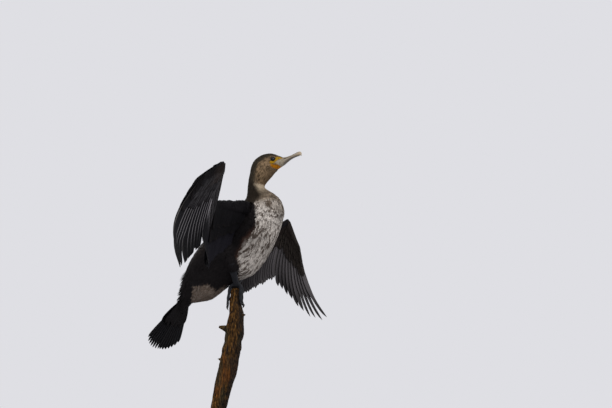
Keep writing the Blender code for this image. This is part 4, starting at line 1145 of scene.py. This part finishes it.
def tuft_rings(root, flow, length, width, depth, lift):
    """Four points round each station of a feather that follows the skin from its root, and how they
    take the light: much as the skin below does, so that the feathers lie softly together."""
    at = Vector(root)
    way = Vector(flow)
    rings, lit = [], []
    gone = 0.0
    for t, share in zip(TUFT_STATIONS, TUFT_WIDTHS):
        at = at + way * (t - gone) * length * MM
        gone = t
        foot, _, face, _ = surface.find_nearest(at)
        normal = face_normals[face]
        way = (way - normal * way.dot(normal)).normalized()
        side = normal.cross(way)
        at = foot
        rise = (depth + ROOT_SINK) * math.sin(min(1.0, t * 1.5) * math.pi / 2) - ROOT_SINK + lift * t * t
        middle = foot + normal * rise * MM
        left = draw.uniform(0.8, 1.1) * share * width / 2 * MM
        right = draw.uniform(0.8, 1.1) * share * width / 2 * MM
        half = normal * TUFT_HALF * MM
        sag = normal * width * share * TUFT_SAG * MM
        rings.append((middle + side * left - sag, middle + half, middle - side * right - sag, middle - half))
        lit.append((normal + side * TUFT_ROUNDNESS, normal, normal - side * TUFT_ROUNDNESS, -normal))
    return np.array(rings).reshape(-1, 3), np.array(lit).reshape(-1, 3)


along, share, forward, up, sideways = body_places(roots)
sizes = coat_sizes(roots)
flows = coat_flows(roots)
mains, fringes = markings(roots)
depths = np.interp(along, *zip(*COAT_DEPTHS))
arm = arm_share(up, sideways)
on_arm = arm > 0.5
depths = depths * (1 - arm) + ARM_COAT_DEPTH * arm
shoulders = (np.abs(sideways) > 46) & (np.abs(sideways) < 84) & (up > 186) & (arm > 0.1)
faces = np.array(grid_faces(len(TUFT_STATIONS), 4))
vane_places = np.array([[(0.0, t), (0.5, t), (1.0, t), (0.5, t)] for t in TUFT_STATIONS]).reshape(-1, 2)
patch = (vane_places - 0.5) * BAKE_PATCH
region = np.select(
    [on_arm, along > 15.2, along > 12.6, along > 9.3, (share > 0.66) & (along > 5.2), share > 0.66,
     along > 5.2],
    ["arm", "head", "nape", "neck", "breast", "belly", "back"], "rump")
region = np.char.add(region, np.where(sideways < 0, "_right", "_left"))
coats = {name: Plumage() for name in sorted(set(region))}
for i, root in enumerate(roots):
    _, length, width = sizes[i] * draw.uniform(0.85, 1.2)
    yaw = draw.normal(0, TUFT_YAW)
    flow = Matrix.Rotation(yaw, 3, face_normals[picked[kept[i]]]) @ Vector(flows[i])
    lift = abs(draw.normal(0, TUFT_LIFT)) * (0.35 if along[i] > 13 else 1.0)
    if along[i] < 2.2 and share[i] < 0.45 and draw.random() < 0.35:  # ruffled over the rump
        lift += draw.uniform(2.0, 9.0)
        length *= 1.25
    if on_arm[i]:
        lift *= 0.4
    if shoulders[i] and draw.random() < 0.55:  # and where the wings meet the back
        lift += draw.uniform(0.8, 4.0)
    rings, lit = tuft_rings(root, flow, length, width, depths[i] * draw.uniform(0.9, 1.04), lift)
    shade = draw.uniform(0.84, 1.16)
    tints = np.empty((len(TUFT_STATIONS), 4, 3))
    tints[:] = mains[i] * shade
    tints[:, (0, 2)] = fringes[i] * shade
    tints[0] *= 0.6
    tints[-1] = fringes[i] * shade
    coats[region[i]].add(rings, faces, tints.reshape(-1, 3), vane_places, root_bakes[i] + patch, lit)
plume_finish = feather_material("body feathers", 0.7, 0.03, strands=True)
COAT_SLOTS = {"head": "brown_neck", "nape": "brown_neck", "arm": "black_plumage", "rump": "black_plumage",
              "back": "black_plumage"}
for name, coat in coats.items():
    coat.piece("coat_" + name, plume_finish, COAT_SLOTS.get(name.split("_")[0], "pale_underparts"))

# The tail: fourteen stiff feathers in a fan, one half lying over the other, with coverts over and
# under their roots.
TAIL_SPREAD = math.radians(29.0)
TAIL_LENGTHS = (131, 132, 132, 131, 129, 126, 120)
TAIL_ROOT_SPACING = 3.0
TAIL_WIDTH = 16.5
CENTRE_LIFT = 1.4
TAIL_OUTLINE = ((0, 0.3), (0.3, 0.75), (0.7, 1.0), (0.88, 0.92), (0.96, 0.68), (1.0, 0.12))
TAIL_COVERTS = ((2.6, 0.36, 0.0), (4.0, 0.5, 6.0), (-2.8, 0.42, 0.0), (-4.4, 0.56, 6.0))
TAIL_COVERT_WIDTH = 15.0
TAIL_START = 12  # how far down the tail's flesh the quills start
TAIL_TWIST, TAIL_LEAD = math.radians(7.0), 0.45
TAIL_BLACK = (0.0045, 0.0043, 0.0054)

root = np.array(MIDLINE) + np.array((0, -TAIL_ROOT[0], TAIL_ROOT[1]))
axis = np.array((0, math.sin(TAIL_LEAN), -math.cos(TAIL_LEAN)))
back = np.array((0, math.cos(TAIL_LEAN), math.sin(TAIL_LEAN)))
tail, tail_coverts = Plumage(), Plumage()
per_side = len(TAIL_LENGTHS)
for half, side in enumerate((-1.0, 1.0)):
    for k, length in enumerate(TAIL_LENGTHS):
        strip = half * per_side + k
        out = (k + 0.5) / (per_side - 0.5)
        turn = TAIL_SPREAD * out
        way = axis * math.cos(turn) + np.array((side * math.sin(turn), 0, 0))
        start = root + np.array((side * out * per_side * TAIL_ROOT_SPACING, 0, 0)) + axis * TAIL_START
        shaft = Shaft(start + back * CENTRE_LIFT * half, way, length, np.array((side, 0.0, 0.0)))
        add_feather(tail, (strip, 2 * per_side), shaft, -side, TAIL_WIDTH, TAIL_OUTLINE, TAIL_TWIST,
                    TAIL_BLACK, TAIL_BLACK, SHAFT_DARK, lead_share=TAIL_LEAD, splits=5)
        for j, (lift, reach, set_back) in enumerate(TAIL_COVERTS):
            cell = (strip * len(TAIL_COVERTS) + j, 2 * per_side * len(TAIL_COVERTS))
            add_feather(tail_coverts, cell, shaft, -side, TAIL_COVERT_WIDTH, COVERT_OUTLINE, TAIL_TWIST,
                        BLACK, BLACK, SHAFT_DARK, quill=False, lead_share=TAIL_LEAD, lift=lift,
                        reach=reach * draw.uniform(0.85, 1.1), set_back=set_back, fringe=BLACK_EDGE,
                        shaft_radius=0.3, splits=2)
tail.piece("tail_feathers", quill_finish, "black_plumage", "tail")
tail_coverts.piece("tail_coverts", covert_finish, "black_plumage")

# The eyes: glass, with a dark pupil and a deep blue-green iris, set well into their lids.
PUPIL, IRIS = 0.40, 0.86  # how far each reaches from the middle of the eye, in radians
PUPIL_TINT, IRIS_TINT, IRIS_EDGE = (0.002, 0.002, 0.003), (0.007, 0.014, 0.020), (0.003, 0.004, 0.006)
CORNEA_RISE = 0.35

eye_glass, _ = tinted_material("eye glass", {"Roughness": 0.05, "Specular IOR Level": 0.25,
                                             "Coat Weight": 0.15, "Coat Roughness": 0.02})
for which, side in (("right", -1), ("left", 1)):
    centre = face_point(EYE_CENTRE[0], EYE_CENTRE[1], side * EYE_CENTRE[2])
    bpy.ops.mesh.primitive_uv_sphere_add(segments=40, ring_count=28, radius=EYE_RADIUS * MM,
                                         location=(0, 0, 0), rotation=(0, math.radians(90), 0))
    eye = bpy.context.object
    eye.name = "eyeball_" + which
    bpy.ops.object.transform_apply(location=False, rotation=True, scale=False)
    points = mesh_points(eye.data)
    outwards = points / np.linalg.norm(points, axis=1)[:, None]
    from_middle = np.arccos(np.clip(side * outwards[:, 0], -1, 1))
    bulge = np.clip(1 - (from_middle / IRIS) ** 2, 0, 1) * CORNEA_RISE * MM
    colours = mixed(PUPIL_TINT, IRIS_TINT, smooth_step(PUPIL - 0.04, PUPIL + 0.04, from_middle))
    set_points(eye.data, points + outwards * bulge[:, None] + np.array(centre))
    tint_mesh(eye.data, mixed(colours, IRIS_EDGE, smooth_step(IRIS - 0.2, IRIS, from_middle)))
    finished(eye, eye_glass, "eye", "eye_" + which)

# The bill: two horny sheaths over the jaws, the upper one with a hooked tip, dark along its ridge and
# pale at its sides. They are the frame's own forms with finer faces, seated in the skin of the face.
BILL_VOXEL = 0.00062
BILL_CLOSE = 1.6  # how far the lower sheath rises to meet the upper one
BILL_SEAT = 0.7  # how far the roots of the sheaths sink into the skin
CULMEN = (0.075, 0.055, 0.036)
HORN_SIDE = (0.35, 0.288, 0.202)
HORN_TIP = (0.42, 0.33, 0.215)
HORN_BASE = (0.375, 0.322, 0.235)
HORN_UNDERSIDE = (0.085, 0.066, 0.047)

horn, _ = tinted_material("bill horn", {"Roughness": 0.36, "Coat Weight": 0.25, "Coat Roughness": 0.3})
lines = on_object(horn, (500.0, 110.0, 300.0))
raised(horn, new_node(horn, "TexNoise", {"Vector": lines, "Scale": 1.0, "Detail": 4.0}, "Fac"), 0.3, 0.0003)
for node in ("bill_upper", "bill_lower"):
    sheath = remeshed([copy_of(node)], node.replace("bill", "sheath"), BILL_VOXEL, 5)
    points, normals = mesh_points(sheath.data), mesh_normals(sheath.data)
    _, _, forward, _, _ = body_places(points)
    wear = streaks(points, 0.0035, 0.4)
    plates = streaks(points * np.array((1.0, 0.35, 1.0)), 0.0022)
    seat = (1 - smooth_step(120, 128, forward)) * BILL_SEAT
    points += normals * (((plates - 0.5) * 0.25 - seat) * MM)[:, None]
    colours = mixed(HORN_BASE, HORN_SIDE, smooth_step(124, 140, forward))
    colours = mixed(colours, HORN_TIP, smooth_step(154, 168, forward))
    if node == "bill_upper":
        ridge = smooth_step(0.15, 0.8, normals[:, 2]) * (1 - smooth_step(160, 171, forward))
        colours = mixed(colours, CULMEN, ridge * 0.92)
    else:
        points[:, 2] += smooth_step(122, 146, forward) * BILL_CLOSE * MM
        # the lower sheath is darker on its faces that look downwards
        colours = mixed(colours, HORN_UNDERSIDE, smooth_step(0.05, 0.7, -normals[:, 2]) * 0.85)
    set_points(sheath.data, points)
    tint_mesh(sheath.data, colours * (0.72 + 0.5 * wear)[:, None])
    finished(sheath, horn, "horn", node)

# The legs: short flattened shanks and feet whose four toes are joined by webs. The skin is black and
# scaly, in rings over shank and toes. Horny claws hook into the bark.
LEG_VOXEL = 0.0009
SCUTE_RUN, SCUTE_RISE = 2.3, 0.30
PHALANX_RUN, KNUCKLE_RISE = 15.0, 0.45
SHANK_SWELL = 0.0016
TOES = {  # bearing round the branch from straight ahead towards the bird's right, and reach down
    "right": ((-42, 38), (-12, 46), (18, 42), (136, 46)),
    "left": ((-82, 38), (-112, 44), (-142, 40), (172, 50)),
}
TOE_RADIUS = 4.2
CLAW_RADIUS, CLAW_SIDES = 2.9, 10
LEG_BLACK = (0.0095, 0.0098, 0.0120)
LEG_SCUFF = (0.024, 0.0255, 0.030)
CLAW_BLACK = (0.012, 0.011, 0.011)

perch_local = (mesh_points(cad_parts["perch"].data) - np.array(PERCH_TOP)) / MM


def branch_at(height):
    """The branch's middle and mean radius at a height, from the solid's own rings."""
    near = perch_local[np.argsort(np.abs(perch_local[:, 2] - height))[:45]]
    middle = (near.min(0) + near.max(0)) / 2
    radius = np.median(np.linalg.norm((near - middle)[:, :2], axis=1))
    return np.array((middle[0], middle[1], height)), radius


leg_skin, _ = tinted_material("leg skin", {"Roughness": 0.5, "Specular IOR Level": 0.14})
scales = new_node(leg_skin, "TexVoronoi", {"Vector": on_object(leg_skin), "Scale": 620.0}, "Distance")
raised(leg_skin, scales, 0.55, 0.0004)
claw_horn, _ = tinted_material("claw horn", {"Roughness": 0.25})
for which, (_, _, joint) in LEGS.items():
    shank, foot = "shank_" + which, "foot_" + which
    leg = remeshed([copy_of(shank, SHANK_SWELL), copy_of(foot)], "leg_" + which, LEG_VOXEL, 4)
    points, normals = mesh_points(leg.data), mesh_normals(leg.data)
    local = (points - np.array(PERCH_TOP)) / MM
    reach = np.linalg.norm(local - np.array(joint), axis=1)
    outward = smooth_step(-0.3, 0.5, normals[:, 2] + np.linalg.norm(normals[:, :2], axis=1) * 0.7)
    ring = np.abs(np.sin(math.pi * reach / SCUTE_RUN)) ** 0.5
    knuckles = np.cos(2 * math.pi * (reach - 8) / PHALANX_RUN) * smooth_step(14, 20, reach)
    knuckles *= 1 - smooth_step(-2, 4, local[:, 2])
    rise = (ring - 0.75) * SCUTE_RISE * outward + knuckles * KNUCKLE_RISE
    points += normals * (rise * MM)[:, None]
    set_points(leg.data, points)
    scuffed = np.clip(ring * 0.5 + 1.2 * (streaks(points, 0.004) - 0.55), 0, 1)
    tint_mesh(leg.data, mixed(LEG_BLACK, LEG_SCUFF, scuffed * 0.6))
    finished(leg, leg_skin, "foot_skin", shank, foot)
    claws = []
    for angle, length in TOES[which]:
        turn = math.radians(angle)
        away = np.array((-math.sin(turn), -math.cos(turn), 0))
        beside = np.array((math.cos(turn), -math.sin(turn), 0))
        rows = []
        for t in np.linspace(0, 1, 8):
            middle, radius = branch_at(-length * (0.84 + 0.22 * t))
            off = radius + TOE_RADIUS - 0.4 + 1.6 * math.sin(t * 2.2) - 4.6 * t * t
            thick = CLAW_RADIUS * (1 - t) ** 0.7 + 0.15
            centre = Vector(middle + away * off)
            rows.append(oval(centre, Vector(away * thick), Vector(beside * thick * 0.75), CLAW_SIDES))
        claws.append(ringed_form("claw", rows))
    claw_set = joined(claws, "claws_" + which)
    tint_mesh(claw_set.data, np.tile(CLAW_BLACK, (len(claw_set.data.vertices), 1)))
    finished(claw_set, claw_horn, "foot_skin")

# The perch: a length of dead branch with most of its bark on, cracked lengthwise, worn to orange
# wood in strips, with the stubs of broken twigs.
PERCH_VOXEL = 0.0013
BARK = (0.074, 0.034, 0.0080)
BARK_PALE = (0.205, 0.096, 0.0220)
BARK_DARK = (0.012, 0.0095, 0.0085)
BARK_MOSS = (0.050, 0.045, 0.022)
BARE_WOOD = (0.21, 0.070, 0.011)
BARK_DEPTH = 1.5
DARKER_SIDE = (0.319, -0.948, 0.0)


def ridged(points, across, along):
    """Noise drawn out along the branch, sharp at its valleys."""
    return np.array([abs(noise.noise(Vector((x / across, y / across, z / along)))) for x, y, z in points])


perch = remeshed([copy_of("perch")], "dead_branch", PERCH_VOXEL, 3)
points, normals = mesh_points(perch.data), mesh_normals(perch.data)
height = (points[:, 2] - PERCH_TOP.z) / MM
cracks = 1 - np.clip(ridged(points, 0.0062, 0.046) * 4.5, 0, 1)
lumps = streaks(points, 0.012, 2.2)
flakes = streaks(points, 0.0042, 1.5)
worn = smooth_step(0.56, 0.66, streaks(points + 0.31, 0.020, 4.0) + 0.10 * smooth_step(-100, -170, height))
free_of_feet = 1 - smooth_step(-58, -30, height)
rise = (lumps - 0.5) * 2.2 * free_of_feet + (flakes - 0.5) * 0.9
rise = rise - cracks * BARK_DEPTH * (1 - worn) - worn * 1.1 * free_of_feet
points += normals * ((rise - 0.2) * MM)[:, None]
set_points(perch.data, points)
colours = patchy(BARK, BARK_PALE, 0.376, 2.2, flakes)
colours = mixed(colours, BARE_WOOD, worn * 0.75)
colours = mixed(colours, BARK_DARK, np.clip(cracks * 0.95 + 1.1 * (0.47 - lumps), 0, 0.95))
moss = smooth_step(0.5, 0.64, streaks(points - 0.17, 0.028, 2.5)) * smooth_step(-40, -75, height)
colours = mixed(colours, BARK_MOSS, moss * 0.6)
# the bark is darker on its faces towards the front and a little to the bird's left, in patches by the lumps
toward_darker_side = smooth_step(0.15, 0.75, normals @ np.array(DARKER_SIDE) + (lumps - 0.5) * 1.2)
tint_mesh(perch.data, mixed(colours, BARK_DARK, toward_darker_side * 0.8))
bark, bark_tint = tinted_material("bark", {"Roughness": 0.85, "Specular IOR Level": 0.12})
fibres = {"Vector": on_object(bark, (420.0, 420.0, 75.0)), "Scale": 1.0, "Detail": 6.0}
waver = {0: new_node(bark, "TexNoise", fibres, "Color"), 1: (0.9, 0.9, 0.9),
         2: on_object(bark, (190.0, 190.0, 19.0))}
wavering = new_node(bark, "VectorMath", waver, "Vector", operation="MULTIPLY_ADD")
plates = new_node(bark, "TexVoronoi", {"Vector": wavering, "Scale": 1.0}, "Distance",
                  feature="DISTANCE_TO_EDGE")
cracked = {"Value": plates, "From Max": 0.09, "To Min": 0.12, "To Max": 1.0}
split = new_node(bark, "MapRange", cracked, "Result")
uneven = {"From Min": 0.32, "From Max": 0.68, "To Min": 0.35, "To Max": 1.55}
uneven["Value"] = new_node(bark, "TexNoise", fibres, "Fac")
weight = new_node(bark, "MapRange", uneven, "Result")
darkened = new_node(bark, "Math", {0: weight, 1: split}, "Value", operation="MULTIPLY")
raised(bark, darkened, 0.9, 0.0012)
shaded(bark, bark_tint, darkened)
finished(perch, bark, "wood", "perch")

# The display stand: a turned disc with a ring cut in its top, and a steel rod with a collar at its
# foot that carries the branch. Their edges are eased, and they are painted a matt grey.
PLINTH_BORDER, RING_WIDTH, RING_DEPTH = 0.012, 0.0015, 0.0012
COLLAR_RADIUS, COLLAR_HEIGHT = 0.017, 0.004
STAND_GREYS = ((0.30, 0.30, 0.295, 1.0), (0.40, 0.40, 0.395, 1.0))

stand_paint = new_material("stand paint", {"Roughness": 0.48})
speckle = new_node(stand_paint, "TexNoise", {"Vector": on_object(stand_paint), "Scale": 60.0, "Detail": 5.0},
                   "Fac")
surface_of(stand_paint, {"Base Color": new_node(stand_paint, "ValToRGB", {"Fac": speckle}, "Color")})
ramp = next(node for node in stand_paint.node_tree.nodes if node.type == "VALTORGB").color_ramp
for stop, grey in zip(ramp.elements, STAND_GREYS):
    stop.color = grey
orange_peel = new_node(stand_paint, "TexNoise", {"Vector": on_object(stand_paint), "Scale": 900.0}, "Fac")
raised(stand_paint, orange_peel, 0.25, 0.0003)


def turned(name, sides, radius, depth, middle):
    bpy.ops.mesh.primitive_cylinder_add(vertices=sides, radius=radius, depth=depth, location=middle)
    bpy.context.object.name = name
    return bpy.context.object


def stand_piece(piece, ease, *nodes):
    """Put in its place, with eased edges and painted."""
    select_only(piece)
    bpy.ops.object.transform_apply(location=True, rotation=True, scale=True)
    bevel = piece.modifiers.new("eased edge", "BEVEL")
    bevel.width = ease
    bevel.segments = 3
    bevel.limit_method = "ANGLE"
    bevel.angle_limit = math.radians(40)
    own_mesh(piece)
    finished(piece, stand_paint, "stand", *nodes)
    bpy.ops.object.shade_smooth_by_angle(angle=math.radians(35))


low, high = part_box("stand_base")
base = turned("plinth", 160, (high.x - low.x) / 2, high.z - low.z, (low + high) / 2)
bpy.ops.object.mode_set(mode="EDIT")
bpy.ops.mesh.select_all(action="DESELECT")
bpy.ops.object.mode_set(mode="OBJECT")
for face in base.data.polygons:
    face.select = face.normal.z > 0.9
bpy.ops.object.mode_set(mode="EDIT")
for thickness, sink in ((PLINTH_BORDER, 0.0), (RING_WIDTH, -RING_DEPTH), (RING_WIDTH, RING_DEPTH)):
    bpy.ops.mesh.inset(thickness=thickness, depth=sink)
bpy.ops.object.mode_set(mode="OBJECT")
stand_piece(base, 0.0009, "stand_base")
low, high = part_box("stand_rod")
middle = (low + high) / 2
stand_piece(turned("rod", 48, (high.x - low.x) / 2, high.z - low.z, middle), 0.0008, "stand_rod")
foot = (middle.x, middle.y, low.z + COLLAR_HEIGHT / 2)
stand_piece(turned("rod_collar", 64, COLLAR_RADIUS, COLLAR_HEIGHT, foot), 0.0008)
